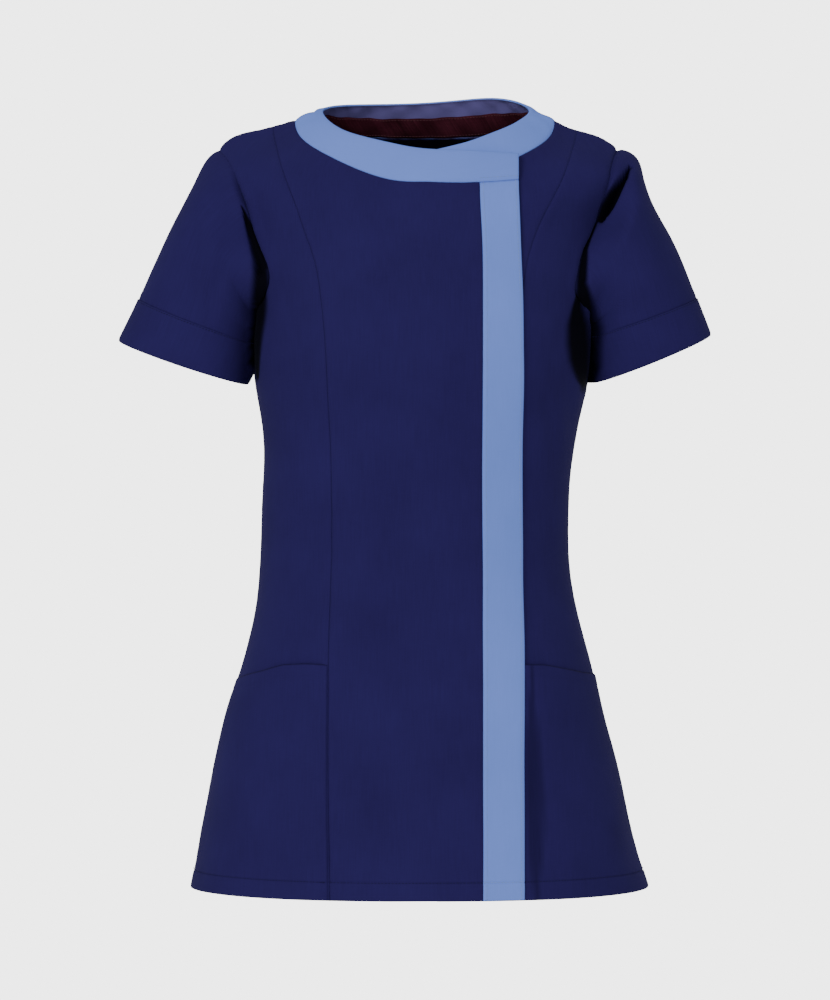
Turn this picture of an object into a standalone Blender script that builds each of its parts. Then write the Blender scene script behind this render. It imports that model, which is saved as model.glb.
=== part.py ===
"""A short-sleeved fitted tunic, filled out as it is when worn, with a lapped front.

Metres, +Z up. The front faces -Y and the wearer's right side is at -X, so right and left in
names are the wearer's. The origin is on the centre line at the height of the neck points.

The body is one form, a stack of closed rings given by a short table. A place on it is an angle
round the body and a run up its side: 0 degrees is the centre front, -90 the wearer's right
side, -180 the centre back and -270 the wearer's left side, which is also +90. Seams are lines
on that form. Each panel fills the ground between its seams and is a thin shell whose outer
face lies on the form, and its edges stand back a little from the seam lines.
"""

from collections import namedtuple

import bpy
import numpy as np

CLOTH = 0.0012
TAPE_CLOTH = 0.0010
SEAM_GAP = 0.00025
SHOULDER_GAP = 0.0010
RIDGE_ANGLE = 70.0

# A ring of the body: its height, half widths to each side, and the height and depth of its
# front and back. Power 2 is an ellipse and more is squarer.
Ring = namedtuple("Ring", "name side_z right left front_z front back_z back power")
BODY_RINGS = (
    Ring("hem", -0.7070, 0.2118, 0.2090, -0.7070, 0.1530, -0.7070, 0.1350, 2.30),
    Ring("low_hip", -0.6660, 0.2044, 0.1970, -0.6660, 0.1465, -0.6660, 0.1310, 2.30),
    Ring("hip", -0.6105, 0.1943, 0.1841, -0.6105, 0.1385, -0.6105, 0.1260, 2.30),
    Ring("high_hip", -0.5550, 0.1813, 0.1693, -0.5550, 0.1290, -0.5550, 0.1195, 2.30),
    Ring("belly", -0.4995, 0.1637, 0.1554, -0.4995, 0.1190, -0.4995, 0.1110, 2.25),
    Ring("low_waist", -0.4440, 0.1526, 0.1415, -0.4440, 0.1110, -0.4440, 0.1010, 2.20),
    Ring("waist", -0.3885, 0.1475, 0.1362, -0.3885, 0.1065, -0.3885, 0.0950, 2.20),
    Ring("high_waist", -0.3330, 0.1452, 0.1378, -0.3330, 0.1080, -0.3330, 0.0930, 2.20),
    Ring("under_bust", -0.2775, 0.1471, 0.1471, -0.2775, 0.1140, -0.2775, 0.0950, 2.20),
    Ring("bust", -0.2405, 0.1532, 0.1548, -0.2405, 0.1185, -0.2405, 0.0975, 2.20),
    Ring("high_bust", -0.2050, 0.1560, 0.1590, -0.2050, 0.1190, -0.2050, 0.0995, 2.20),
    Ring("underarm", -0.1680, 0.1572, 0.1600, -0.1680, 0.1155, -0.1680, 0.1010, 2.20),
    Ring("chest", -0.1250, 0.1630, 0.1632, -0.1430, 0.1080, -0.1290, 0.1015, 2.15),
    Ring("high_chest", -0.0750, 0.1750, 0.1722, -0.1140, 0.0985, -0.0830, 0.0990, 2.10),
    Ring("tip", -0.0277, 0.1868, 0.1813, -0.0880, 0.0885, -0.0400, 0.0920, 2.05),
    Ring("outer_shoulder", -0.0170, 0.1765, 0.1690, -0.0815, 0.0855, -0.0305, 0.0880, 2.00),
    Ring("mid_shoulder", -0.0085, 0.1500, 0.1440, -0.0735, 0.0825, -0.0205, 0.0820, 2.00),
    Ring("neck", 0.0003, 0.1166, 0.1240, -0.0650, 0.0790, -0.0110, 0.0750, 2.00),
)

# The dip of a front ring below its sides follows the cosine of the angle, less this much of a
# squared sine that flattens it between the side and the centre.
FRONT_DIP_EASE = 0.10

# A place as seen from the front or the back.
Place = namedtuple("Place", "x z")

PRINCESS_TOP = {"right": 0.1363, "left": 0.1440}
PRINCESS_SEAMS = {
    "right": (
        Place(-0.0809, -0.7070),
        Place(-0.0831, -0.4990),
        Place(-0.0819, -0.2980),
        Place(-0.0844, -0.2495),
        Place(-0.0866, -0.2040),
        Place(-0.0914, -0.1610),
        Place(-0.0975, -0.1324),
        Place(-0.1059, -0.1082),
        Place(-0.1136, -0.0846),
        Place(-0.1252, -0.0534),
        Place(-0.1320, -0.0290),
    ),
    "left": (
        Place(0.0809, -0.7070),
        Place(0.0831, -0.4990),
        Place(0.0819, -0.2980),
        Place(0.0844, -0.2495),
        Place(0.0866, -0.2040),
        Place(0.0914, -0.1610),
        Place(0.0970, -0.1330),
        Place(0.1087, -0.0995),
        Place(0.1276, -0.0615),
        Place(0.1390, -0.0300),
    ),
}
PRINCESS_CORNER_Z = {"right": -0.1580, "left": -0.1670}

# The lap: edges of the contrast strip, the line of the neck across it, and the edge of the
# centre front that lies beneath.
STRIP_INNER_EDGE = (
    Place(0.0544, -0.7070),
    Place(0.0546, -0.4600),
    Place(0.0542, -0.3520),
    Place(0.0548, -0.1700),
    Place(0.0543, -0.1150),
    Place(0.0533, -0.0850),
    Place(0.0528, -0.0650),
)
STRIP_OUTER_EDGE = (
    Place(0.0908, -0.7070),
    Place(0.0912, -0.4600),
    Place(0.0901, -0.3470),
    Place(0.0903, -0.1650),
    Place(0.0897, -0.1400),
    Place(0.0887, -0.1020),
    Place(0.0881, -0.0623),
)
LAP_NECKLINE = (
    Place(0.0000, -0.0650),
    Place(0.0190, -0.0655),
    Place(0.0370, -0.0655),
    Place(0.0528, -0.0650),
    Place(0.0700, -0.0640),
    Place(0.0881, -0.0623),
)
UNDERLAP_EDGE_X = 0.0140
UNDERLAP_TOP_Z = -0.0900
LAP_OUT = 0.0036
LAP_RISE_FROM = -0.0350
LAP_RISE_TO = 0.0100

# Armholes, upward from the underarm to the shoulder tip. The third row is the corner where the
# curve turns up.
ARMHOLE_CORNER = 3
UNDERARM_Z = {"right": -0.1680, "left": -0.1760}
ARMHOLES = {
    ("right", "front"): (
        Place(-0.1510, -0.1665),
        Place(-0.1440, -0.1610),
        Place(-0.1390, -0.1520),
        Place(-0.1395, -0.1420),
        Place(-0.1456, -0.1251),
        Place(-0.1549, -0.0984),
        Place(-0.1646, -0.0703),
        Place(-0.1728, -0.0510),
        Place(-0.1805, -0.0360),
    ),
    ("right", "back"): (
        Place(-0.1545, -0.1655),
        Place(-0.1510, -0.1620),
        Place(-0.1490, -0.1550),
        Place(-0.1495, -0.1450),
        Place(-0.1545, -0.1240),
        Place(-0.1617, -0.0980),
        Place(-0.1692, -0.0720),
        Place(-0.1780, -0.0470),
    ),
    ("left", "front"): (
        Place(0.1540, -0.1750),
        Place(0.1465, -0.1700),
        Place(0.1410, -0.1615),
        Place(0.1425, -0.1487),
        Place(0.1481, -0.1251),
        Place(0.1592, -0.0995),
        Place(0.1690, -0.0700),
        Place(0.1740, -0.0520),
        Place(0.1785, -0.0350),
    ),
    ("left", "back"): (
        Place(0.1570, -0.1740),
        Place(0.1530, -0.1705),
        Place(0.1505, -0.1630),
        Place(0.1505, -0.1500),
        Place(0.1538, -0.1260),
        Place(0.1595, -0.0980),
        Place(0.1665, -0.0720),
        Place(0.1745, -0.0450),
    ),
}

# Steps across and up the panels.
LOWER_ROWS = 12
UPPER_ROWS = 12
ARMPIT_COLUMNS = 3
SIDE_COLUMNS = 3
SHOULDER_ROWS = 2
RIGHT_CENTRE_COLUMNS = 8
LEFT_CENTRE_COLUMNS = 6
NECK_FRONT_COLUMNS = 6
NECK_BACK_COLUMNS = 12
LAP_COLUMNS = 3
STRIP_COLUMNS = 3
UNDERLAP_COLUMNS = 7
TRACE_STEPS = 90

# The inner edge of the collar, by collar angle, which runs on past the left side and beneath
# the lapped end at the front.
CollarEdge = namedtuple("CollarEdge", "angle x y z")
COLLAR_TOP = (
    CollarEdge(-354, 0.0120, -0.0625, -0.0325),
    CollarEdge(-340, 0.0372, -0.0590, -0.0262),
    CollarEdge(-320, 0.0601, -0.0490, -0.0175),
    CollarEdge(-300, 0.0816, -0.0330, -0.0076),
    CollarEdge(-285, 0.0930, -0.0170, 0.0005),
    CollarEdge(-270, 0.0999, -0.0010, 0.0085),
    CollarEdge(-257, 0.0985, 0.0120, 0.0155),
    CollarEdge(-243, 0.0885, 0.0275, 0.0215),
    CollarEdge(-225, 0.0675, 0.0450, 0.0258),
    CollarEdge(-205, 0.0370, 0.0580, 0.0252),
    CollarEdge(-180, -0.0027, 0.0620, 0.0227),
    CollarEdge(-142, -0.0570, 0.0480, 0.0202),
    CollarEdge(-115, -0.0826, 0.0260, 0.0170),
    CollarEdge(-90, -0.0911, 0.0010, 0.0098),
    CollarEdge(-70, -0.0856, -0.0235, -0.0013),
    CollarEdge(-50, -0.0698, -0.0437, -0.0132),
    CollarEdge(-30, -0.0456, -0.0580, -0.0218),
    CollarEdge(-15, -0.0236, -0.0645, -0.0274),
    CollarEdge(0, 0.0000, -0.0676, -0.0316),
    CollarEdge(10, 0.0200, -0.0692, -0.0329),
    CollarEdge(23, 0.0535, -0.0692, -0.0341),
    CollarEdge(33.35, 0.0888, -0.0610, -0.0356),
)
COLLAR_ROWS = 3
COLLAR_SWELL = 0.0012

# The tape inside the back of the neck, as shares of the collar's width.
TAPE_SHARES = (0.06, 0.333, 0.58)
TAPE_SHORT = 10.0
TAPE_CLEAR = 0.0006

# Pocket mouths on the side fronts.
POCKET_MOUTHS = {
    "right": (
        Place(-0.1660, -0.5157),
        Place(-0.1564, -0.5111),
        Place(-0.1418, -0.5067),
        Place(-0.1222, -0.5005),
        Place(-0.1012, -0.4990),
        Place(-0.0823, -0.4993),
    ),
    "left": (
        Place(0.1595, -0.5133),
        Place(0.1465, -0.5086),
        Place(0.1283, -0.5043),
        Place(0.1090, -0.5004),
        Place(0.0931, -0.4996),
        Place(0.0823, -0.4994),
    ),
}
POCKET_ROWS_BELOW = 4
POCKET_OUT = 0.0005
POCKET_EDGE_GAP = 0.0008

# A ring of a sleeve: its outer and inner ends seen from the front, its depth to the front and
# back, and how far its front hangs below its back.
SleeveRing = namedtuple("SleeveRing", "outer_x outer_z inner_x inner_z front back drop")
SLEEVES = {
    "right": (
        SleeveRing(-0.1868, -0.0277, -0.1572, -0.1680, 0.0540, 0.0460, 0.000),
        SleeveRing(-0.1945, -0.0325, -0.1545, -0.1735, 0.0570, 0.0480, 0.000),
        SleeveRing(-0.2072, -0.0518, -0.1515, -0.1820, 0.0590, 0.0500, 0.001),
        SleeveRing(-0.2330, -0.1045, -0.1510, -0.1965, 0.0580, 0.0510, 0.003),
        SleeveRing(-0.2605, -0.1660, -0.1535, -0.2065, 0.0545, 0.0505, 0.005),
        SleeveRing(-0.2794, -0.2035, -0.1590, -0.2440, 0.0510, 0.0495, 0.006),
    ),
    "left": (
        SleeveRing(0.1813, -0.0250, 0.1600, -0.1760, 0.0550, 0.0470, 0.000),
        SleeveRing(0.1975, -0.0300, 0.1570, -0.1810, 0.0580, 0.0490, 0.000),
        SleeveRing(0.2060, -0.0540, 0.1540, -0.1870, 0.0590, 0.0500, 0.001),
        SleeveRing(0.2293, -0.1045, 0.1530, -0.1950, 0.0580, 0.0510, 0.003),
        SleeveRing(0.2550, -0.1650, 0.1540, -0.2010, 0.0545, 0.0505, 0.005),
        SleeveRing(0.2683, -0.1980, 0.1575, -0.2425, 0.0510, 0.0495, 0.006),
    ),
}
SLEEVE_POWER = 2.2
SLEEVE_FADE = 0.055
SLEEVE_ROWS = 6
CUFF_ROWS = 2
CUFF_RING = 4
CUFF_OUT = 0.0007
CUFF_GAP = 0.0004
SLEEVE_CLEAR = 0.0030
SLEEVE_CLEAR_FROM = 0.018
SLEEVE_SOFT = 0.0030
UNDERARM_FADE = 0.010
ARMHOLE_LIFT = 0.0008
ARMHOLE_APART = 0.0003

NAVY = (0.0137, 0.0168, 0.0782, 1.0)
SKY = (0.178, 0.262, 0.521, 1.0)
MAROON = (0.035, 0.006, 0.010, 1.0)


class Spline:
    """A natural cubic through the rows of a table, straight beyond both ends."""

    def __init__(self, knots, rows):
        self.knots = np.asarray(knots, float)
        self.rows = np.asarray(rows, float)
        count = len(self.knots)
        step = np.diff(self.knots)
        matrix = np.eye(count)
        bends = np.zeros_like(self.rows)
        for i in range(1, count - 1):
            matrix[i, i - 1:i + 2] = step[i - 1], 2 * (step[i - 1] + step[i]), step[i]
            rise = (self.rows[i + 1] - self.rows[i]) / step[i]
            bends[i] = 6 * (rise - (self.rows[i] - self.rows[i - 1]) / step[i - 1])
        self.bends = np.linalg.solve(matrix, bends)

    def __call__(self, at):
        """Return the values at each knot position given, one row each."""
        at = np.clip(np.asarray(at, float), self.knots[0], self.knots[-1])
        i = np.clip(np.searchsorted(self.knots, at) - 1, 0, len(self.knots) - 2)
        step = (self.knots[i + 1] - self.knots[i])[..., None]
        after = at[..., None] - self.knots[i][..., None]
        before = step - after
        cubic = self.bends[i] * before**3 + self.bends[i + 1] * after**3
        low = (self.rows[i] / step - self.bends[i] * step / 6) * before
        high = (self.rows[i + 1] / step - self.bends[i + 1] * step / 6) * after
        return cubic / (6 * step) + low + high


def chords(points):
    """Return the length run along a line of points at each of them."""
    steps = np.linalg.norm(np.diff(np.asarray(points, float), axis=0), axis=-1)
    return np.concatenate(([0.0], np.cumsum(steps)))


def unit(vectors):
    """Return the vectors at length one."""
    return vectors / np.maximum(np.linalg.norm(vectors, axis=-1, keepdims=True), 1e-12)


def smooth_step(low, high, value):
    """Rise from 0 to 1 between two values, level at both ends."""
    share = np.clip((value - low) / (high - low), 0.0, 1.0)
    return share * share * (3 - 2 * share)


class Form:
    """The filled-out body, as a surface over angle (degrees) and run (metres up its side)."""

    def __init__(self, rings):
        side = [((ring.right + ring.left) / 2, ring.side_z) for ring in rings]
        runs = chords(side)
        self.run_of = {ring.name: run for ring, run in zip(rings, runs)}
        self.rows = Spline(runs, [ring[1:] for ring in rings])
        self.runs = np.linspace(0.0, runs[-1], 800)
        self.table = self.rows(self.runs)
        self.grids = {}
        for face, angles in (("front", np.linspace(-89, 89, 120)), ("back", np.linspace(-269, -91, 120))):
            grid = np.stack(np.meshgrid(angles, self.runs[::4], indexing="ij"), axis=-1)
            self.grids[face] = (grid, self.at(grid))

    def at(self, places, out=0.0):
        """Return the points of places (angle, run), moved out from the surface if asked."""
        points = self.surface(places)
        if np.any(out):
            points = points + self.normals(places) * np.asarray(out)[..., None]
        return points

    def surface(self, places):
        """Return the points of places on the surface itself."""
        side_z, right, left, front_z, front, back_z, back, power = np.moveaxis(
            self.rows(places[..., 1]), -1, 0)
        angle = np.radians(places[..., 0])
        across, along = np.sin(angle), np.cos(angle)
        reach = (np.abs(across)**power + np.abs(along)**power)**(-1 / power)
        forward = along > 0
        x = np.where(across < 0, right, left) * reach * across
        y = -np.where(forward, front, back) * reach * along
        dip = np.where(forward, along - FRONT_DIP_EASE * np.sin(2 * angle)**2, -along)
        z = side_z + (np.where(forward, front_z, back_z) - side_z) * dip
        return np.stack((x, y, z), axis=-1)

    def normals(self, places):
        """Return the outward direction at each place."""
        turn, rise = np.array([0.5, 0.0]), np.array([0.0, 0.002])
        around = self.surface(places + turn) - self.surface(places - turn)
        above = np.minimum(places + rise, [np.inf, self.runs[-1]])
        below = np.maximum(places - rise, [-np.inf, 0.0])
        return unit(np.cross(around, self.surface(above) - self.surface(below)))

    def run_at_height(self, z):
        """Return the run at which the side of the body has a height."""
        return np.interp(z, self.table[:, 0], self.runs)

    def shoulder_run(self, side, half_width):
        """Return the run at which the shoulder has come in to a half width."""
        above = self.runs >= self.run_of["tip"]
        widths = self.table[above, 1 if side == "right" else 2]
        return np.interp(-half_width, -widths, self.runs[above])

    def locate(self, place, face):
        """Return the angle and run of a place seen from the front or the back."""
        grid, points = self.grids[face]
        goal = np.array([place.x, place.z])
        seen = points[..., [0, 2]]
        spot = np.unravel_index(np.argmin(np.linalg.norm(seen - goal, axis=-1)), seen.shape[:2])
        found = grid[spot].copy()
        for _ in range(12):
            here = self.surface(found)[[0, 2]]
            turned = (self.surface(found + [0.05, 0.0])[[0, 2]] - here) / 0.05
            raised = (self.surface(found + [0.0, 1e-4])[[0, 2]] - here) / 1e-4
            step = np.linalg.lstsq(np.column_stack((turned, raised)), goal - here, rcond=None)[0]
            found = found + np.clip(step, [-4.0, -0.01], [4.0, 0.01])
            found[1] = np.clip(found[1], 0.0, self.runs[-1])
        return found


FORM = Form(BODY_RINGS)
NECK_RUN = FORM.run_of["neck"]
TIP_RUN = FORM.run_of["tip"]
SIDE_ANGLE = {("right", "front"): -90.0, ("right", "back"): -90.0,
              ("left", "front"): 90.0, ("left", "back"): -270.0}


class Seam:
    """A line on the form through places (angle, run), from its lower end to its upper."""

    def __init__(self, places):
        places = np.asarray(places, float)
        self.knots = chords(FORM.at(places))
        self.spline = Spline(self.knots, places)

    def between(self, low, high, count):
        """Return places at equal steps of length between two lengths."""
        return self.spline(np.linspace(low, high, count + 1))

    def length_at_height(self, z):
        """Return the lengths at which the line has the heights given."""
        lengths = np.linspace(0.0, self.knots[-1], 600)
        return np.interp(z, FORM.at(self.spline(lengths))[:, 2], lengths)


def located(places, face):
    """Return places on the form for a table of places seen from one face."""
    return [FORM.locate(place, face) for place in places]


def traced(table):
    """Return places all along a front line given by a table from its foot to its top."""
    heights = [place.z for place in table]
    curve = Spline(heights, [[place.x] for place in table])
    levels = np.linspace(heights[0], heights[-1], TRACE_STEPS + 1)
    return located([Place(x, z) for x, z in zip(curve(levels)[:, 0], levels)], "front")


def princess(side):
    """Return the places down one princess seam: lower rows, then upper rows to the shoulder."""
    top = (SIDE_ANGLE[side, "front"], FORM.shoulder_run(side, PRINCESS_TOP[side]))
    seam = Seam(traced(PRINCESS_SEAMS[side]) + [top])
    return edge_rows(seam, PRINCESS_CORNER_Z[side], UPPER_ROWS)


def edge_rows(seam, corner_z, upper_rows):
    """Return a line's places at the panels' rows, level below the corner and even above it."""
    heights = np.linspace(BODY_RINGS[0].side_z, corner_z, LOWER_ROWS + 1)
    lower = seam.spline(seam.length_at_height(heights))
    corner = seam.length_at_height(corner_z)
    return lower, seam.between(corner, seam.knots[-1], upper_rows)


def side_rows(side, face):
    """Return the places up one side seam, from the hem to the underarm."""
    heights = np.linspace(BODY_RINGS[0].side_z, UNDERARM_Z[side], LOWER_ROWS + 1)
    runs = FORM.run_at_height(heights)
    return np.column_stack((np.full(len(runs), SIDE_ANGLE[side, face]), runs))


def armhole(side, face):
    """Return an armhole's places: underarm to corner, then corner to shoulder tip."""
    angle = SIDE_ANGLE[side, face]
    low = (angle, FORM.run_at_height(UNDERARM_Z[side]))
    seam = Seam([low] + located(ARMHOLES[side, face], face) + [(angle, TIP_RUN)])
    corner = seam.knots[ARMHOLE_CORNER]
    return seam.between(0.0, corner, ARMPIT_COLUMNS), seam.between(corner, seam.knots[-1], UPPER_ROWS)


def line(start, end, count):
    """Return places in even steps from one place to another."""
    return np.asarray(start) + (np.asarray(end) - np.asarray(start)) * np.linspace(0, 1, count + 1)[:, None]


def joined(*runs_of_places):
    """Join lines of places end to end, with each shared end kept once."""
    return np.concatenate([runs_of_places[0]] + [places[1:] for places in runs_of_places[1:]])


def fill(left, right, bottom, top):
    """Fill the ground inside four edges with places, rows upward and columns to the right."""
    up = np.linspace(0, 1, len(left))[:, None, None]
    along = np.linspace(0, 1, len(bottom))[None, :, None]
    across = (1 - along) * left[:, None] + along * right[:, None]
    upward = (1 - up) * bottom[None] + up * top[None]
    corners = ((1 - up) * ((1 - along) * bottom[0] + along * bottom[-1])
               + up * ((1 - along) * top[0] + along * top[-1]))
    return across + upward - corners


def grid_faces(rows, columns, first=0, closed=False):
    """Return the four-sided faces of a grid of points, seen from outside."""
    faces = []
    for i in range(rows - 1):
        for j in range(columns if closed else columns - 1):
            k = (j + 1) % columns
            faces.append((first + i * columns + j, first + i * columns + k,
                          first + (i + 1) * columns + k, first + (i + 1) * columns + j))
    return faces


def weld(blocks):
    """Join blocks of places into one list of places and faces, merging the shared ones."""
    places, faces, index = [], [], {}
    for block in blocks:
        rows, columns = block.shape[:2]
        numbers = []
        for place in block.reshape(-1, 2):
            key = (round(place[0], 3), round(place[1], 6))
            if key not in index:
                index[key] = len(places)
                places.append(place)
            numbers.append(index[key])
        for face in grid_faces(rows, columns):
            faces.append(tuple(numbers[corner] for corner in face))
    return np.array(places), faces


def stand_back(points, faces, normals, gaps):
    """Move the edge of an open surface inward, across its own edge line."""
    counted = {}
    for face in faces:
        for start, end in zip(face, face[1:] + face[:1]):
            counted[start, end] = (end, start) not in counted and counted.get((start, end), True)
            if (end, start) in counted:
                counted[end, start] = False
    edges = [edge for edge, open_edge in counted.items() if open_edge]
    after = dict(edges)
    before = {end: start for start, end in edges}
    moved = points.copy()
    for here in after:
        coming = unit(points[here] - points[before[here]])
        going = unit(points[after[here]] - points[here])
        halfway = unit(coming + going)
        stretch = 1 / max(float(np.dot(halfway, going)), 0.6)
        moved[here] += np.cross(normals[here], halfway) * gaps[here] * stretch
    return moved


def material(name, colour):
    """Return a plain cloth material."""
    made = bpy.data.materials.new(name)
    made.use_nodes = True
    shader = made.node_tree.nodes["Principled BSDF"]
    shader.inputs["Base Color"].default_value = colour
    shader.inputs["Roughness"].default_value = 0.85
    return made


def shell(name, points, faces, colour, wall=CLOTH):
    """Make a thin shell whose outer face is the surface given."""
    mesh = bpy.data.meshes.new(name)
    mesh.from_pydata([tuple(point) for point in points], [], faces)
    mesh.materials.append(material(name + "_cloth", colour))
    made = bpy.data.objects.new(name, mesh)
    bpy.data.collections["medical_tunic"].objects.link(made)
    thicken = made.modifiers.new("cloth", "SOLIDIFY")
    thicken.thickness = wall
    thicken.offset = -1.0
    return made


def panel(name, blocks, colour, lift=None, out=0.0):
    """Make a panel from blocks of places on the form."""
    places, faces = weld(blocks)
    base = FORM.at(places)
    rise = out + (lift(base[:, 0]) if lift else np.zeros(len(base)))
    points = FORM.at(places, rise)
    from_ridge = np.abs((places[:, 0] % 180) - 90)
    near = (1 - smooth_step(0.0, RIDGE_ANGLE, from_ridge)) * (places[:, 1] > TIP_RUN - 1e-6)
    gaps = SEAM_GAP + (SHOULDER_GAP - SEAM_GAP) * near
    moved = stand_back(points, faces, FORM.normals(places), gaps)
    return shell(name, moved, faces, colour)


def lap_lift(x):
    """Return how far the lapping front stands out over the one beneath."""
    return LAP_OUT * smooth_step(LAP_RISE_FROM, LAP_RISE_TO, x)


def shoulder_places(side, face):
    """Return the places up one shoulder seam: tip to princess seam, then on to the neck."""
    angle = SIDE_ANGLE[side, face]
    crossing = (angle, FORM.shoulder_run(side, PRINCESS_TOP[side]))
    outer = line((angle, TIP_RUN), crossing, SIDE_COLUMNS)
    return outer, line(crossing, (angle, NECK_RUN), SHOULDER_ROWS)


def front_side_blocks(side):
    """Return the two blocks of a side front, below and beside the armhole."""
    lower, upper = princess(side)
    armpit, rise = armhole(side, "front")
    outer, _ = shoulder_places(side, "front")
    ledge = line(armpit[-1], lower[-1], SIDE_COLUMNS)
    seam = side_rows(side, "front")
    hem = line(seam[0], lower[0], ARMPIT_COLUMNS + SIDE_COLUMNS)
    below = fill(seam, lower, hem, joined(armpit, ledge))
    beside = fill(rise, upper, ledge, outer)
    if side == "left":
        below, beside = below[:, ::-1], beside[:, ::-1]
    return below, beside


def back_blocks():
    """Return the two blocks of the back, below and between the armholes."""
    armpits, rises = {}, {}
    for side in ("right", "left"):
        armpits[side], rise = armhole(side, "back")
        rises[side] = joined(rise, *shoulder_places(side, "back"))
    neck = line((-270.0, NECK_RUN), (-90.0, NECK_RUN), NECK_BACK_COLUMNS)
    ledge = line(armpits["left"][-1], armpits["right"][-1], NECK_BACK_COLUMNS)
    hem = line((-270.0, 0.0), (-90.0, 0.0), NECK_BACK_COLUMNS + 2 * ARMPIT_COLUMNS)
    waist_up = joined(armpits["left"], ledge, armpits["right"][::-1])
    below = fill(side_rows("left", "back"), side_rows("right", "back"), hem, waist_up)
    between = fill(rises["left"], rises["right"], ledge, neck)
    return below, between


def lap_neck(first, last, count):
    """Return the places of the neck line across the lap, between two distances from centre."""
    curve = Spline([place.x for place in LAP_NECKLINE], [[place.z] for place in LAP_NECKLINE])
    across = np.linspace(first, last, count + 1)
    return np.array(located([Place(x, z) for x, z in zip(across, curve(across)[:, 0])], "front"))


def lap_neck_places():
    """Return the neck line of the lapping front from the right neck point to the strip's edge."""
    neck = line((-90.0, NECK_RUN), (0.0, NECK_RUN), NECK_FRONT_COLUMNS)
    inner = lap_neck(0.0, STRIP_INNER_EDGE[-1].x, LAP_COLUMNS)
    outer = lap_neck(STRIP_INNER_EDGE[-1].x, STRIP_OUTER_EDGE[-1].x, STRIP_COLUMNS)
    inner[0] = neck[-1]
    return joined(neck, inner), outer


def underlap_neck_places():
    """Return the neck line of the front beneath, from its edge to the left neck point."""
    angle = np.degrees(np.arcsin(UNDERLAP_EDGE_X / BODY_RINGS[-1].left))
    return line((angle, NECK_RUN), (90.0, NECK_RUN), UNDERLAP_COLUMNS)


def centre_blocks(edge, seam, neck, columns):
    """Return the two blocks of a centre front, below and beside the neck, from edge to seam."""
    foot = len(edge)
    hem = line(edge[0], seam[0], columns)
    ledge = line(edge[-1], seam[foot - 1], columns)
    shoulder = line(neck[-1], seam[-1], columns)
    return fill(edge, seam[:foot], hem, ledge), fill(neck, seam[foot - 1:], ledge, shoulder)


def make_fronts():
    """Make the panels of the front, the strip and the pockets."""
    neck, strip_neck = lap_neck_places()
    rows = UPPER_ROWS - len(neck) + 1
    inner_edge = joined(*edge_rows(Seam(traced(STRIP_INNER_EDGE)), PRINCESS_CORNER_Z["right"], rows))
    outer_edge = joined(*edge_rows(Seam(traced(STRIP_OUTER_EDGE)), PRINCESS_CORNER_Z["right"], rows))
    inner_edge[-1], outer_edge[-1] = strip_neck[0], strip_neck[-1]
    blocks = centre_blocks(inner_edge, joined(*princess("right")), neck[::-1], RIGHT_CENTRE_COLUMNS)
    panel("front_right_centre", [block[:, ::-1] for block in blocks], NAVY, lap_lift)
    hem = line(inner_edge[0], outer_edge[0], STRIP_COLUMNS)
    panel("front_placket", [fill(inner_edge, outer_edge, hem, strip_neck)], SKY, lap_lift)

    neck = underlap_neck_places()
    rows = UPPER_ROWS - len(neck) + 1
    edge = traced([Place(UNDERLAP_EDGE_X, z) for z in (BODY_RINGS[0].side_z, UNDERLAP_TOP_Z)])
    edge = joined(*edge_rows(Seam(edge + [neck[0]]), PRINCESS_CORNER_Z["left"], rows))
    panel("front_left_centre", centre_blocks(edge, joined(*princess("left")), neck, LEFT_CENTRE_COLUMNS), NAVY)

    for side in ("right", "left"):
        below, beside = front_side_blocks(side)
        panel(f"front_{side}_side", [below, beside], NAVY)
        make_pocket(side, below)


def make_pocket(side, below):
    """Make a pocket over a side front, on the panel's own places and up to its mouth."""
    if side == "left":
        below = below[:, ::-1]
    mouth = np.array(located(POCKET_MOUTHS[side], "front"))
    wanted = np.interp(np.abs(below[0, :, 0]), np.abs(mouth[::-1, 0]), mouth[::-1, 1])
    last, beyond = below[POCKET_ROWS_BELOW], below[POCKET_ROWS_BELOW + 1]
    share = ((wanted - last[:, 1]) / (beyond[:, 1] - last[:, 1]))[:, None]
    places = np.concatenate((below[:POCKET_ROWS_BELOW + 1], (last + (beyond - last) * share)[None]))
    points = FORM.at(places)
    points[-1] = FORM.at(last) + (FORM.at(beyond) - FORM.at(last)) * share
    normals = FORM.normals(places)
    points = points + normals * (POCKET_OUT + CLOTH)
    if side == "left":
        points, normals = points[:, ::-1], normals[:, ::-1]
    faces = grid_faces(*points.shape[:2])
    points, normals = points.reshape(-1, 3), normals.reshape(-1, 3)
    gaps = np.full(len(points), POCKET_EDGE_GAP)
    shell(f"pocket_{side}", stand_back(points, faces, normals, gaps), faces, NAVY)


def collar_edges():
    """Return the collar's angles, its seam edge and its inner edge, from its end beneath."""
    under = underlap_neck_places()
    neck, strip_neck = lap_neck_places()
    back = line((-270.0, NECK_RUN), (-90.0, NECK_RUN), NECK_BACK_COLUMNS)
    places = joined(under - [360.0, 0.0], back, neck, strip_neck)
    points = FORM.at(places)
    lapped = np.where(places[:, 0] > -90, lap_lift(points[:, 0]), 0.0)
    top = Spline([row.angle for row in COLLAR_TOP], [row[1:] for row in COLLAR_TOP])
    return places[:, 0], FORM.at(places, lapped), top(places[:, 0])


def band(low, high, shares, swell=0.0):
    """Return the points of a band between two edges, swollen outward at mid width."""
    shares = np.asarray(shares)[:, None, None]
    flat = low[None] + (high - low)[None] * shares
    along = np.gradient(low, axis=0)
    away = unit(np.cross(along, high - low))
    return flat + away[None] * swell * 4 * shares * (1 - shares)


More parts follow.
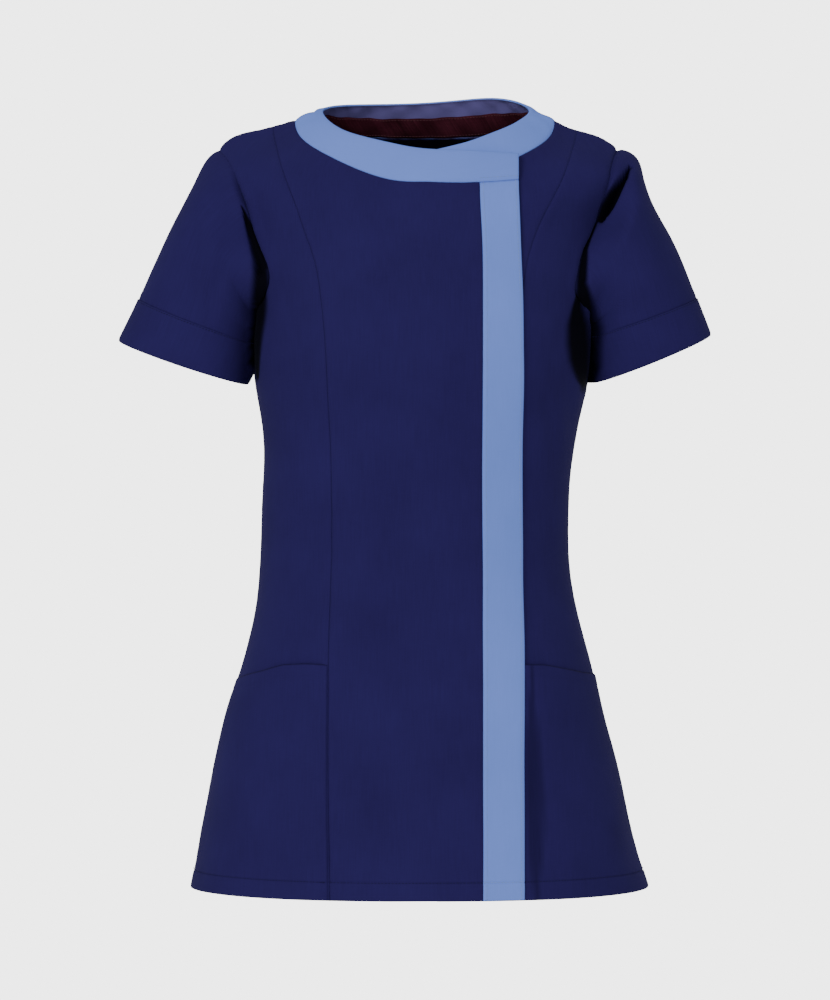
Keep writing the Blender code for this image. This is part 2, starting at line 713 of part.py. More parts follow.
def make_collar():
    """Make the collar band and the tape inside the back of it."""
    angles, seam, top = collar_edges()
    start = SEAM_GAP / np.linalg.norm(top - seam, axis=-1).mean()
    points = band(seam, top, np.linspace(start, 1.0, COLLAR_ROWS + 1), COLLAR_SWELL)
    faces = grid_faces(*points.shape[:2])
    shell("collar", points.reshape(-1, 3), faces, SKY)

    points = band(seam, top, TAPE_SHARES, COLLAR_SWELL)
    points = points - unit(np.cross(np.gradient(seam, axis=0), top - seam)) * (CLOTH + TAPE_CLEAR)
    points = points[:, (angles > -270 + TAPE_SHORT) & (angles < -90 - TAPE_SHORT)]
    shell("neck_tape", points.reshape(-1, 3), grid_faces(*points.shape[:2]), MAROON, TAPE_CLOTH)


def armhole_loop(side):
    """Return the armhole's points and outward directions: shoulder, front, underarm, back."""
    front_low, front_high = armhole(side, "front")
    back_low, back_high = armhole(side, "back")
    front = joined(front_low, front_high)[::-1]
    back = joined(back_low, back_high)
    places = np.concatenate((front, back[1:-1]))
    points, normals = FORM.at(places), FORM.normals(places)
    along = unit(np.roll(points, -1, axis=0) - np.roll(points, 1, axis=0))
    away = unit(np.cross(along, normals))
    if side == "left":
        away = -away
    down = chords(points[:len(front)])
    up = chords(np.concatenate((points[len(front) - 1:], points[:1])))
    turns = np.concatenate((180 * down / down[-1], 180 + 180 * up[1:-1] / up[-1]))
    return points + normals * ARMHOLE_LIFT + away * ARMHOLE_APART, turns


def clear_of_body(points, clearance, underarm_z):
    """Press the points below an underarm sideways, so that they stand clear of the body."""
    row = FORM.rows(FORM.run_at_height(points[..., 2]))
    half = np.where(points[..., 0] < 0, row[..., 1], row[..., 2])
    depth = np.where(points[..., 1] < 0, row[..., 4], row[..., 6])
    deep = np.minimum(np.abs(points[..., 1]) / depth, 1.0)
    wall = half * (1 - deep**row[..., 7])**(1 / row[..., 7]) + clearance
    room = np.abs(points[..., 0]) - wall
    pressed = wall + (room + np.hypot(room, SLEEVE_SOFT)) / 2
    share = 1 - smooth_step(underarm_z - UNDERARM_FADE, underarm_z + UNDERARM_FADE, points[..., 2])
    moved = points.copy()
    moved[..., 0] = np.sign(points[..., 0]) * (np.abs(points[..., 0]) + (pressed - wall - room) * share)
    return moved


class Sleeve:
    """A set-in sleeve as a surface over run down its outer line and turn round it."""

    def __init__(self, side):
        self.side = side
        rings = SLEEVES[side]
        self.runs = chords([(ring.outer_x, ring.outer_z) for ring in rings])
        self.rows = Spline(self.runs, rings)
        self.start, self.turns = armhole_loop(side)

    def ring(self, run, wider=0.0):
        """Return one ring of points, before the armhole draws it in."""
        outer_x, outer_z, inner_x, inner_z, front, back, drop = self.rows(run)
        turn = np.radians(self.turns)
        across, along = np.cos(turn), np.sin(turn)
        reach = (np.abs(across)**SLEEVE_POWER + np.abs(along)**SLEEVE_POWER)**(-1 / SLEEVE_POWER)
        length = np.hypot(outer_x - inner_x, outer_z - inner_z) / 2
        size = reach * (1 + wider / length)
        x = (outer_x + inner_x) / 2 + (outer_x - inner_x) / 2 * size * across
        z = (outer_z + inner_z) / 2 + (outer_z - inner_z) / 2 * size * across - drop * along
        y = -np.where(along > 0, front + wider, back + wider) * reach * along
        return np.stack((x, y, z), axis=-1)

    def points(self, runs, wider=0.0):
        """Return the rings at several runs, drawn in to the armhole at the top."""
        pull = self.start - self.ring(0.0)
        rings = []
        for run in runs:
            ring = self.ring(run, wider) + pull * (1 - smooth_step(0.0, SLEEVE_FADE, run))
            share = smooth_step(0.0, SLEEVE_CLEAR_FROM, run)
            clear = clear_of_body(ring, SLEEVE_CLEAR, UNDERARM_Z[self.side])
            rings.append(ring + (clear - ring) * share)
        return np.array(rings)


def make_sleeve(side):
    """Make one sleeve and its cuff."""
    sleeve = Sleeve(side)
    seam, hem = sleeve.runs[CUFF_RING], sleeve.runs[-1]
    parts = (
        (f"sleeve_{side}", np.linspace(0.0, 1.0, SLEEVE_ROWS + 1)**1.3 * (seam - CUFF_GAP), 0.0),
        (f"cuff_{side}", np.linspace(seam + CUFF_GAP, hem, CUFF_ROWS + 1), CUFF_OUT),
    )
    for name, runs, wider in parts:
        points = sleeve.points(runs, wider)
        faces = grid_faces(*points.shape[:2], closed=True)
        if side == "right":
            faces = [face[::-1] for face in faces]
        shell(name, points.reshape(-1, 3), faces, NAVY)


def main():
    """Build the tunic."""
    for old in list(bpy.data.objects):
        bpy.data.objects.remove(old)
    bpy.context.scene.collection.children.link(bpy.data.collections.new("medical_tunic"))
    make_fronts()
    panel("back", back_blocks(), NAVY)
    for side in ("right", "left"):
        make_sleeve(side)
    make_collar()


main()
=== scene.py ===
"""Looks for a short-sleeved fitted tunic, filled out as it is when worn, with a lapped front.

Metres, +Z up. The front faces -Y and the wearer's right side is at -X, so right and left in
names are the wearer's. Every piece is a fine grid on the body or sleeve that the solids follow,
with the folds, seams and stitches of the sewn cloth laid over it.
"""

import logging
from collections.abc import Callable
from dataclasses import astuple, dataclass, field, replace
from enum import Enum

import bpy
import numpy as np
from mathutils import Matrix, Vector


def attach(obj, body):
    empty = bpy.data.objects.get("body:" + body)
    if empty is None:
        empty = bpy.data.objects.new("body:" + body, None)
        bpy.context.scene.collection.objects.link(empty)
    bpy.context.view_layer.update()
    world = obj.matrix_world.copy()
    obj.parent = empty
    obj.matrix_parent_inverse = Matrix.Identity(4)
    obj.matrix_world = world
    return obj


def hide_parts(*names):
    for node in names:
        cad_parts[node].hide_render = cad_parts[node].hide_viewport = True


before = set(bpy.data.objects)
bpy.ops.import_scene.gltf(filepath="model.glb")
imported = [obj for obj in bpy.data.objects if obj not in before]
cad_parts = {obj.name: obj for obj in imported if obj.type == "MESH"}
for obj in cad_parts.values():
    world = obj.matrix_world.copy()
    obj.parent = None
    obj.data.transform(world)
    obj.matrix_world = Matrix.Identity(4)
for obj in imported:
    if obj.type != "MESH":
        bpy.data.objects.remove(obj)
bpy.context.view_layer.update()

LOG = logging.getLogger("tunic")
Array = np.ndarray
Lift = Callable[[Array], Array]
Faces = list[tuple[int, ...]]
Triple = tuple[float, float, float]
Pair = tuple[Array, Array]
Names = tuple[str, ...]


class Side(Enum):
    """The wearer's sides."""

    RIGHT = "right"
    LEFT = "left"


class Face(Enum):
    """The two faces of the body."""

    FRONT = "front"
    BACK = "back"


@dataclass(frozen=True)
class Ring:
    """A ring of the body: heights, half widths and depths of its sides, front and back."""

    name: str
    side_z: float
    right: float
    left: float
    front_z: float
    front: float
    back_z: float
    back: float
    power: float

    def row(self) -> tuple[float, ...]:
        """Return the ring's numbers, as a row of the form's table."""
        return astuple(self)[1:]


BODY_RINGS = (
    Ring("hem", -0.7070, 0.2118, 0.2090, -0.7070, 0.1530, -0.7070, 0.1350, 2.30),
    Ring("low_hip", -0.6660, 0.2044, 0.1970, -0.6660, 0.1465, -0.6660, 0.1310, 2.30),
    Ring("hip", -0.6105, 0.1943, 0.1841, -0.6105, 0.1385, -0.6105, 0.1260, 2.30),
    Ring("high_hip", -0.5550, 0.1813, 0.1693, -0.5550, 0.1290, -0.5550, 0.1195, 2.30),
    Ring("belly", -0.4995, 0.1637, 0.1554, -0.4995, 0.1190, -0.4995, 0.1110, 2.25),
    Ring("low_waist", -0.4440, 0.1526, 0.1415, -0.4440, 0.1110, -0.4440, 0.1010, 2.20),
    Ring("waist", -0.3885, 0.1475, 0.1362, -0.3885, 0.1065, -0.3885, 0.0950, 2.20),
    Ring("high_waist", -0.3330, 0.1452, 0.1378, -0.3330, 0.1080, -0.3330, 0.0930, 2.20),
    Ring("under_bust", -0.2775, 0.1471, 0.1471, -0.2775, 0.1140, -0.2775, 0.0950, 2.20),
    Ring("bust", -0.2405, 0.1532, 0.1548, -0.2405, 0.1185, -0.2405, 0.0975, 2.20),
    Ring("high_bust", -0.2050, 0.1560, 0.1590, -0.2050, 0.1190, -0.2050, 0.0995, 2.20),
    Ring("underarm", -0.1680, 0.1572, 0.1600, -0.1680, 0.1155, -0.1680, 0.1010, 2.20),
    Ring("chest", -0.1250, 0.1630, 0.1632, -0.1430, 0.1080, -0.1290, 0.1015, 2.15),
    Ring("high_chest", -0.0750, 0.1750, 0.1722, -0.1140, 0.0985, -0.0830, 0.0990, 2.10),
    Ring("tip", -0.0277, 0.1868, 0.1813, -0.0880, 0.0885, -0.0400, 0.0920, 2.05),
    Ring("outer_shoulder", -0.0170, 0.1765, 0.1690, -0.0815, 0.0855, -0.0305, 0.0880, 2.00),
    Ring("mid_shoulder", -0.0085, 0.1500, 0.1440, -0.0735, 0.0825, -0.0205, 0.0820, 2.00),
    Ring("neck", 0.0003, 0.1166, 0.1240, -0.0650, 0.0790, -0.0110, 0.0750, 2.00),
)
FRONT_DIP_EASE = 0.10
FACE_ANGLES = {Face.FRONT: (-89, 89), Face.BACK: (-269, -91)}
HEM_Z = BODY_RINGS[0].side_z


@dataclass(frozen=True)
class Place:
    """A place as seen from the front or the back."""

    x: float
    z: float


Places = tuple[Place, ...]


def marks(*pairs: tuple[float, float]) -> Places:
    """Return places from pairs of x and z."""
    return tuple(Place(*pair) for pair in pairs)


PRINCESS_TOP = {Side.RIGHT: 0.1363, Side.LEFT: 0.1440}
PRINCESS_CORNER_Z = {Side.RIGHT: -0.1580, Side.LEFT: -0.1670}
PRINCESS_SEAMS = {
    Side.RIGHT: marks(
        (-0.0809, -0.7070), (-0.0831, -0.4990), (-0.0819, -0.2980), (-0.0844, -0.2495),
        (-0.0866, -0.2040), (-0.0914, -0.1610), (-0.0975, -0.1324), (-0.1059, -0.1082),
        (-0.1136, -0.0846), (-0.1252, -0.0534), (-0.1320, -0.0290),
    ),
    Side.LEFT: marks(
        (0.0809, -0.7070), (0.0831, -0.4990), (0.0819, -0.2980), (0.0844, -0.2495),
        (0.0866, -0.2040), (0.0914, -0.1610), (0.0970, -0.1330), (0.1087, -0.0995),
        (0.1276, -0.0615), (0.1390, -0.0300),
    ),
}
STRIP_INNER_EDGE = marks(
    (0.0544, -0.7070), (0.0546, -0.4600), (0.0542, -0.3520), (0.0548, -0.1700),
    (0.0543, -0.1150), (0.0533, -0.0850), (0.0528, -0.0650),
)
STRIP_OUTER_EDGE = marks(
    (0.0908, -0.7070), (0.0912, -0.4600), (0.0901, -0.3470), (0.0903, -0.1650),
    (0.0897, -0.1400), (0.0887, -0.1020), (0.0881, -0.0623),
)
LAP_NECKLINE = marks(
    (0.0000, -0.0650), (0.0190, -0.0655), (0.0370, -0.0655), (0.0528, -0.0650),
    (0.0700, -0.0640), (0.0881, -0.0623),
)
UNDERLAP_EDGE_X = 0.0140
UNDERLAP_TOP_Z = -0.0900
LAP_OUT = 0.0036
LAP_RISE = (-0.0350, 0.0100)

ARMHOLE_CORNER = 3
UNDERARM_Z = {Side.RIGHT: -0.1680, Side.LEFT: -0.1760}
ARMHOLES = {
    (Side.RIGHT, Face.FRONT): marks(
        (-0.1510, -0.1665), (-0.1440, -0.1610), (-0.1390, -0.1520), (-0.1395, -0.1420),
        (-0.1456, -0.1251), (-0.1549, -0.0984), (-0.1646, -0.0703), (-0.1728, -0.0510),
        (-0.1805, -0.0360),
    ),
    (Side.RIGHT, Face.BACK): marks(
        (-0.1545, -0.1655), (-0.1510, -0.1620), (-0.1490, -0.1550), (-0.1495, -0.1450),
        (-0.1545, -0.1240), (-0.1617, -0.0980), (-0.1692, -0.0720), (-0.1780, -0.0470),
    ),
    (Side.LEFT, Face.FRONT): marks(
        (0.1540, -0.1750), (0.1465, -0.1700), (0.1410, -0.1615), (0.1425, -0.1487),
        (0.1481, -0.1251), (0.1592, -0.0995), (0.1690, -0.0700), (0.1740, -0.0520),
        (0.1785, -0.0350),
    ),
    (Side.LEFT, Face.BACK): marks(
        (0.1570, -0.1740), (0.1530, -0.1705), (0.1505, -0.1630), (0.1505, -0.1500),
        (0.1538, -0.1260), (0.1595, -0.0980), (0.1665, -0.0720), (0.1745, -0.0450),
    ),
}
SIDE_ANGLE = {(Side.RIGHT, Face.FRONT): -90.0, (Side.RIGHT, Face.BACK): -90.0,
              (Side.LEFT, Face.FRONT): 90.0, (Side.LEFT, Face.BACK): -270.0}

POCKET_MOUTHS = {
    Side.RIGHT: marks(
        (-0.1660, -0.5157), (-0.1564, -0.5111), (-0.1418, -0.5067), (-0.1222, -0.5005),
        (-0.1012, -0.4990), (-0.0823, -0.4993),
    ),
    Side.LEFT: marks(
        (0.1595, -0.5133), (0.1465, -0.5086), (0.1283, -0.5043), (0.1090, -0.5004),
        (0.0931, -0.4996), (0.0823, -0.4994),
    ),
}
POCKET_STITCH = 0.0120
POCKET_START_ROW = 40.0

# How the grids are spaced: close beside seams and stitched lines, wider in between.
LOWER_ROWS = 130
UPPER_ROWS = 66
ARMPIT_COLUMNS = 14
SIDE_COLUMNS = 30
RIGHT_CENTRE_COLUMNS = 60
LEFT_CENTRE_COLUMNS = 40
NECK_FRONT_COLUMNS = 28
NECK_BACK_COLUMNS = 100
LAP_COLUMNS = 14
STRIP_COLUMNS = 20
STRIP_STITCH_COLUMNS = (3, -4)
UNDERLAP_COLUMNS = 44
SHOULDER_COLUMNS = 12
TRACE_STEPS = 90
POCKET_ROWS = 60
HEM_STITCH = 0.0160
HEM_ROWS = (0.0, 0.0004, 0.0010, 0.0020, 0.0040, 0.0070, 0.0100, 0.0130, 0.0145, 0.0152, 0.0160, 0.0168,
            0.0176, 0.0192, 0.0220)


class Spline:
    """A natural cubic through the rows of a table, held at both ends."""

    def __init__(self, knots: Array, rows: Array) -> None:
        """Solve for the bends at the knots.

        Args:
            knots: Rising positions, one per row.
            rows: The rows of numbers to pass through.
        """
        self.knots = np.asarray(knots, float)
        self.rows = np.asarray(rows, float)
        count = len(self.knots)
        step = np.diff(self.knots)
        matrix = np.eye(count)
        bends = np.zeros_like(self.rows)
        for i in range(1, count - 1):
            matrix[i, i - 1:i + 2] = step[i - 1], 2 * (step[i - 1] + step[i]), step[i]
            rise = (self.rows[i + 1] - self.rows[i]) / step[i]
            bends[i] = 6 * (rise - (self.rows[i] - self.rows[i - 1]) / step[i - 1])
        self.bends = np.linalg.solve(matrix, bends)

    def __call__(self, at: Array) -> Array:
        """Return the row at each position, by the usual cubic between two knots and their bends."""
        at = np.clip(np.asarray(at, float), self.knots[0], self.knots[-1])
        i = np.clip(np.searchsorted(self.knots, at) - 1, 0, len(self.knots) - 2)
        step = (self.knots[i + 1] - self.knots[i])[..., None]
        after = at[..., None] - self.knots[i][..., None]
        before = step - after
        cubic = self.bends[i] * before**3 + self.bends[i + 1] * after**3
        low = (self.rows[i] / step - self.bends[i] * step / 6) * before
        high = (self.rows[i + 1] / step - self.bends[i + 1] * step / 6) * after
        return cubic / (6 * step) + low + high


def chords(points: Array, axis: int = 0) -> Array:
    """Return the length run along lines of points at each of them, on one axis of a grid."""
    steps = np.linalg.norm(np.diff(np.asarray(points, float), axis=axis), axis=-1)
    start = np.zeros_like(np.take(steps, [0], axis=axis))
    return np.concatenate((start, np.cumsum(steps, axis=axis)), axis=axis)


def unit(vectors: Array) -> Array:
    """Return the vectors at length one."""
    return vectors / np.maximum(np.linalg.norm(vectors, axis=-1, keepdims=True), 1e-12)


def smooth_step(low: float, high: float, value: Array) -> Array:
    """Rise from 0 to 1 between two values, as 3t squared less 2t cubed."""
    share = np.clip((value - low) / (high - low), 0.0, 1.0)
    return share * share * (3 - 2 * share)


def bell(distance: Array, width: float) -> Array:
    """Return a soft bump: e to the minus squared distance over width."""
    return np.exp(-(distance / width)**2)


def spread(count: int, start: float = 0.0, end: float = 0.0) -> Array:
    """Return shares from 0 to 1 that lie closer by the given amounts at the start and the end.

    Formula: even steps u, less a part of u(1-u) squared at the start, plus a part of u
    squared times (1-u) at the end.
    """
    u = np.linspace(0.0, 1.0, count + 1)
    return u - start * u * (1 - u)**2 + end * u * u * (1 - u)


STRIP_SHARES = spread(STRIP_COLUMNS, 0.7, 0.7)
SIDE_SHARES = spread(SIDE_COLUMNS, 0.75, 0.75)


def lower_heights(top: float) -> Array:
    """Return the heights of the rows from the hem to a top, close together at the stitched hem."""
    rest = np.linspace(HEM_Z + HEM_ROWS[-1], top, LOWER_ROWS + 2 - len(HEM_ROWS))
    return np.concatenate((HEM_Z + np.array(HEM_ROWS), rest[1:]))


class Form:
    """The filled-out body, as a surface over angle (degrees) and run (metres up its side)."""

    def __init__(self, rings: tuple[Ring, ...]) -> None:
        """Take the rings from the hem to the neck.

        Args:
            rings: Rings of the body, the lowest first.
        """
        side = [((ring.right + ring.left) / 2, ring.side_z) for ring in rings]
        runs = chords(side)
        self.run_of = {ring.name: float(run) for ring, run in zip(rings, runs)}
        self.rows = Spline(runs, [ring.row() for ring in rings])
        self.runs = np.linspace(0.0, runs[-1], 800)
        self.table = self.rows(self.runs)
        angles = np.linspace(-360.0, 360.0, 721)
        self.arc_runs = self.runs[::8]
        ground = np.stack(np.meshgrid(self.arc_runs, angles, indexing="ij")[::-1], axis=-1)
        self.arcs = chords(self.surface(ground), axis=1)
        self.arcs = self.arcs - self.arcs[:, 360:361]
        self.grids = {}
        for face, ends in FACE_ANGLES.items():
            grid = np.stack(np.meshgrid(np.linspace(*ends, 120), self.runs[::4], indexing="ij"), axis=-1)
            self.grids[face] = (grid, self.surface(grid))

    def surface(self, places: Array) -> Array:
        """Return the points of places (angle, run).

        Formula: a ring of power p reaches r = (|sin a|^p + |cos a|^p)^(-1/p) along angle a, so
        x is the half width times r sin a, y is minus the depth times r cos a, and z dips from
        the side's height to the front's or back's with the cosine.

        Args:
            places: Places (angle, run).

        Returns:
            Points, one for each place.
        """
        numbers = np.moveaxis(self.rows(places[..., 1]), -1, 0)
        side_z, right, left, front_z, front, back_z, back, power = numbers
        angle = np.radians(places[..., 0])
        across, along = np.sin(angle), np.cos(angle)
        reach = (np.abs(across)**power + np.abs(along)**power)**(-1 / power)
        forward = along > 0
        x = np.where(across < 0, right, left) * reach * across
        y = -np.where(forward, front, back) * reach * along
        dip = np.where(forward, along - FRONT_DIP_EASE * np.sin(2 * angle)**2, -along)
        z = side_z + (np.where(forward, front_z, back_z) - side_z) * dip
        return np.stack((x, y, z), axis=-1)

    def normals(self, places: Array) -> Array:
        """Return the outward direction at each place, square to its steps round and up.

        Args:
            places: Places (angle, run).

        Returns:
            Directions of length one.
        """
        turn, rise = np.array([0.5, 0.0]), np.array([0.0, 0.002])
        around = self.surface(places + turn) - self.surface(places - turn)
        above = np.minimum(places + rise, [np.inf, self.runs[-1]])
        below = np.maximum(places - rise, [-np.inf, 0.0])
        return unit(np.cross(around, self.surface(above) - self.surface(below)))

    def arc(self, places: Array) -> Array:
        """Return the length round the body from the centre front to each place.

        Args:
            places: Places (angle, run).

        Returns:
            Lengths in metres, below nought to the right.
        """
        row = np.clip(places[..., 1] / self.arc_runs[1], 0, len(self.arc_runs) - 1.001)
        column = np.clip(places[..., 0] + 360.0, 0, 719.999)
        i, j = row.astype(int), column.astype(int)
        a, b = row - i, column - j
        low = self.arcs[i, j] * (1 - b) + self.arcs[i, j + 1] * b
        high = self.arcs[i + 1, j] * (1 - b) + self.arcs[i + 1, j + 1] * b
        return low * (1 - a) + high * a

    def run_at_height(self, z: Array) -> Array:
        """Return the run at which the side of the body has a height."""
        return np.interp(z, self.table[:, 0], self.runs)

    def shoulder_run(self, side: Side, half_width: float) -> float:
        """Return the run at which a shoulder has come in to a half width."""
        above = self.runs >= self.run_of["tip"]
        widths = self.table[above, 1 if side is Side.RIGHT else 2]
        return float(np.interp(-half_width, -widths, self.runs[above]))

    def locate(self, place: Place, face: Face) -> Array:
        """Return the angle and run of a place seen from one face, by Newton's steps.

        Args:
            place: The place as it is seen.
            face: The face of the body.

        Returns:
            Its angle and run.
        """
        grid, points = self.grids[face]
        goal = np.array([place.x, place.z])
        seen = points[..., [0, 2]]
        spot = np.unravel_index(np.argmin(np.linalg.norm(seen - goal, axis=-1)), seen.shape[:2])
        found = grid[spot].copy()
        for _ in range(12):
            here = self.surface(found)[[0, 2]]
            turned = (self.surface(found + [0.05, 0.0])[[0, 2]] - here) / 0.05
            raised = (self.surface(found + [0.0, 1e-4])[[0, 2]] - here) / 1e-4
            step = np.linalg.lstsq(np.column_stack((turned, raised)), goal - here, rcond=None)[0]
            found = found + np.clip(step, [-4.0, -0.01], [4.0, 0.01])
            found[1] = np.clip(found[1], 0.0, self.runs[-1])
        return found


FORM = Form(BODY_RINGS)
NECK_RUN = FORM.run_of["neck"]
TIP_RUN = FORM.run_of["tip"]


class Seam:
    """A line on the form through places (angle, run), from its lower end to its upper."""

    def __init__(self, places: list[Array]) -> None:
        """Pass a curve through the places, by length."""
        places = np.asarray(places, float)
        self.knots = chords(FORM.surface(places))
        self.spline = Spline(self.knots, places)

    def between(self, low: float, high: float, shares: Array) -> Array:
        """Return places at shares of the way between two lengths."""
        return self.spline(low + (high - low) * shares)

    def length_at_height(self, z: Array) -> Array:
        """Return the lengths at which the line has the heights given."""
        lengths = np.linspace(0.0, self.knots[-1], 600)
        return np.interp(z, FORM.surface(self.spline(lengths))[:, 2], lengths)


def located(places: Places, face: Face) -> list[Array]:
    """Return places on the form for a table of places seen from one face."""
    return [FORM.locate(place, face) for place in places]


def traced(table: Places) -> list[Array]:
    """Return places all along a front line given by a table from its foot to its top."""
    heights = [place.z for place in table]
    curve = Spline(heights, [[place.x] for place in table])
    levels = np.linspace(heights[0], heights[-1], TRACE_STEPS + 1)
    return located(tuple(Place(x, z) for x, z in zip(curve(levels)[:, 0], levels)), Face.FRONT)


def joined(*runs_of_places: Array) -> Array:
    """Join lines of places end to end, with each shared end kept once."""
    return np.concatenate([runs_of_places[0]] + [places[1:] for places in runs_of_places[1:]])


def line(start: Array, end: Array, shares: Array) -> Array:
    """Return places at shares of the way from one place to another."""
    return np.asarray(start) + (np.asarray(end) - np.asarray(start)) * shares[:, None]


def edge_rows(seam: Seam, corner_z: float, upper: Array) -> Pair:
    """Return a line's places at the rows, level below the corner and by shares above it."""
    lower = seam.spline(seam.length_at_height(lower_heights(corner_z)))
    return lower, seam.between(float(seam.length_at_height(corner_z)), seam.knots[-1], upper)


def princess(side: Side) -> Pair:
    """Return the places up one princess seam: lower rows, then upper rows to the shoulder."""
    top = (SIDE_ANGLE[side, Face.FRONT], FORM.shoulder_run(side, PRINCESS_TOP[side]))
    seam = Seam(traced(PRINCESS_SEAMS[side]) + [top])
    return edge_rows(seam, PRINCESS_CORNER_Z[side], spread(UPPER_ROWS, end=0.7))


def side_rows(side: Side, face: Face) -> Array:
    """Return the places up one side seam, from the hem to the underarm."""
    runs = FORM.run_at_height(lower_heights(UNDERARM_Z[side]))
    return np.column_stack((np.full(len(runs), SIDE_ANGLE[side, face]), runs))


def armhole(side: Side, face: Face) -> Pair:
    """Return an armhole's places: underarm to corner, then corner to shoulder tip.

    Args:
        side: The wearer's side.
        face: The face of the body.

    Returns:
        The places of the two stretches.
    """
    angle = SIDE_ANGLE[side, face]
    low = (angle, FORM.run_at_height(UNDERARM_Z[side]))
    seam = Seam([low] + located(ARMHOLES[side, face], face) + [(angle, TIP_RUN)])
    corner = seam.knots[ARMHOLE_CORNER]
    low, high = spread(ARMPIT_COLUMNS, start=0.7), spread(UPPER_ROWS, end=0.7)
    return seam.between(0.0, corner, low), seam.between(corner, seam.knots[-1], high)


def fill(left: Array, right: Array, bottom: Array, top: Array) -> Array:
    """Fill the ground inside four edges with places, rows upward and columns to the right.

    Formula: the blend of left and right by each column's share of the bottom, plus the blend of
    bottom and top by each row's share of the left, less the blend of the four corners.

    Args:
        left: Places up the first column.
        right: Places up the last.
        bottom: Places along the first row.
        top: Places along the last.

    Returns:
        A grid of places.
    """
    run = chords(FORM.surface(left))
    up = (run / run[-1])[:, None, None]
    along = (chords(bottom) / chords(bottom)[-1])[None, :, None]
    across = (1 - along) * left[:, None] + along * right[:, None]
    upward = (1 - up) * bottom[None] + up * top[None]
    corners = ((1 - up) * ((1 - along) * bottom[0] + along * bottom[-1])
               + up * ((1 - along) * top[0] + along * top[-1]))
    return across + upward - corners


def lap_lift(x: Array) -> Array:
    """Return how far the lapping front stands out over the one beneath, rising across the centre."""
    return LAP_OUT * smooth_step(*LAP_RISE, x)


class Edge:
    """A line of points in space, such as a seam, from which distances are measured."""

    def __init__(self, points: Array) -> None:
        """Keep the line's points and the length run at each."""
        self.points = np.asarray(points, float)
        self.runs = chords(self.points)

    def measure(self, points: Array, reach: float = 1.0) -> Pair:
        """Return each point's distance from the line, and the length run at its nearest place.

        Formula: for each straight step of the line, the share t of the foot of the point is held
        between 0 and 1, and the step with the shortest distance counts. Points further than
        the reach from the line's box are left at that reach.

        Args:
            points: Points in metres.
            reach: How far from the line's box a point still counts.

        Returns:
            The distances and the lengths.
        """
        low, high = self.points.min(axis=0) - reach, self.points.max(axis=0) + reach
        near = np.all((points > low) & (points < high), axis=1)
        far_off, far_run = np.full(len(points), reach), np.zeros(len(points))
        if near.any():
            far_off[near], far_run[near] = self._measure_near(points[near])
        return far_off, far_run

    def _measure_near(self, points: Array) -> Pair:
        """Return the distances and lengths of the points that lie near the line.

        Args:
            points: Points in metres.

        Returns:
            The distances and the lengths.
        """
        start, step = self.points[:-1], np.diff(self.points, axis=0)
        square = np.maximum((step**2).sum(-1), 1e-14)
        length = np.sqrt(square)
        distances, runs = [], []
        for piece in np.array_split(points, max(1, len(points) // 3000)):
            away = piece[:, None] - start[None]
            share = np.clip((away * step[None]).sum(-1) / square, 0.0, 1.0)
            off = np.linalg.norm(away - share[..., None] * step[None], axis=-1)
            best = off.argmin(axis=1)
            rows = np.arange(len(piece))
            distances.append(off[rows, best])
            runs.append(self.runs[best] + share[rows, best] * length[best])
        return np.concatenate(distances), np.concatenate(runs)


@dataclass(frozen=True)
class Lie:
    """How cloth lies beside an edge: the trough on its line, the ridge beside it and its puckers."""

    trough: float
    trough_width: float
    ridge: float = 0.0
    ridge_off: float = 0.0050
    ridge_width: float = 0.0040
    pucker: float = 0.0
    pucker_width: float = 0.0080


class Finish(Enum):
    """The ways in which an edge is finished."""

    SEAM = Lie(0.00062, 0.0010, ridge=0.00028, pucker=0.00016)
    DEEP_SEAM = Lie(0.00090, 0.0012, ridge=0.00045, ridge_off=0.0055, pucker=0.00025, pucker_width=0.0090)
    FOLD = Lie(0.00060, 0.0010)


def puckers(run: Array, seed: float) -> Array:
    """Return the uneven gathering along a sewn line, a sum of three waves of about 1."""
    quick = np.sin(run * 620 + seed) + 0.7 * np.sin(run * 1010 + 2.3 * seed)
    return (quick + 0.8 * np.sin(run * 307 - seed)) / 2.5


def edge_relief(finish: Finish, off: Array, run: Array, seed: float) -> Array:
    """Return how far the cloth stands out beside an edge, from its distance and the length run.

    Formula: a narrow trough on the line, a low ridge of seam allowance beside it, and puckers
    that die away with distance. A fold only rolls in at the line itself.

    Args:
        finish: How the edge is finished.
        off: Distances from its line.
        run: Lengths along it.
        seed: Where its puckers start.

    Returns:
        Heights in metres, below nought in a trough.
    """
    lie = finish.value
    trough = -lie.trough * bell(off, lie.trough_width)
    ridge = lie.ridge * bell(off - lie.ridge_off, lie.ridge_width)
    return trough + ridge + lie.pucker * puckers(run, seed) * bell(off, lie.pucker_width)


CREASE_BANK = 0.35
CREASE_BANK_WIDTH = 2.2
CREASE_AT_ENDS = 0.15


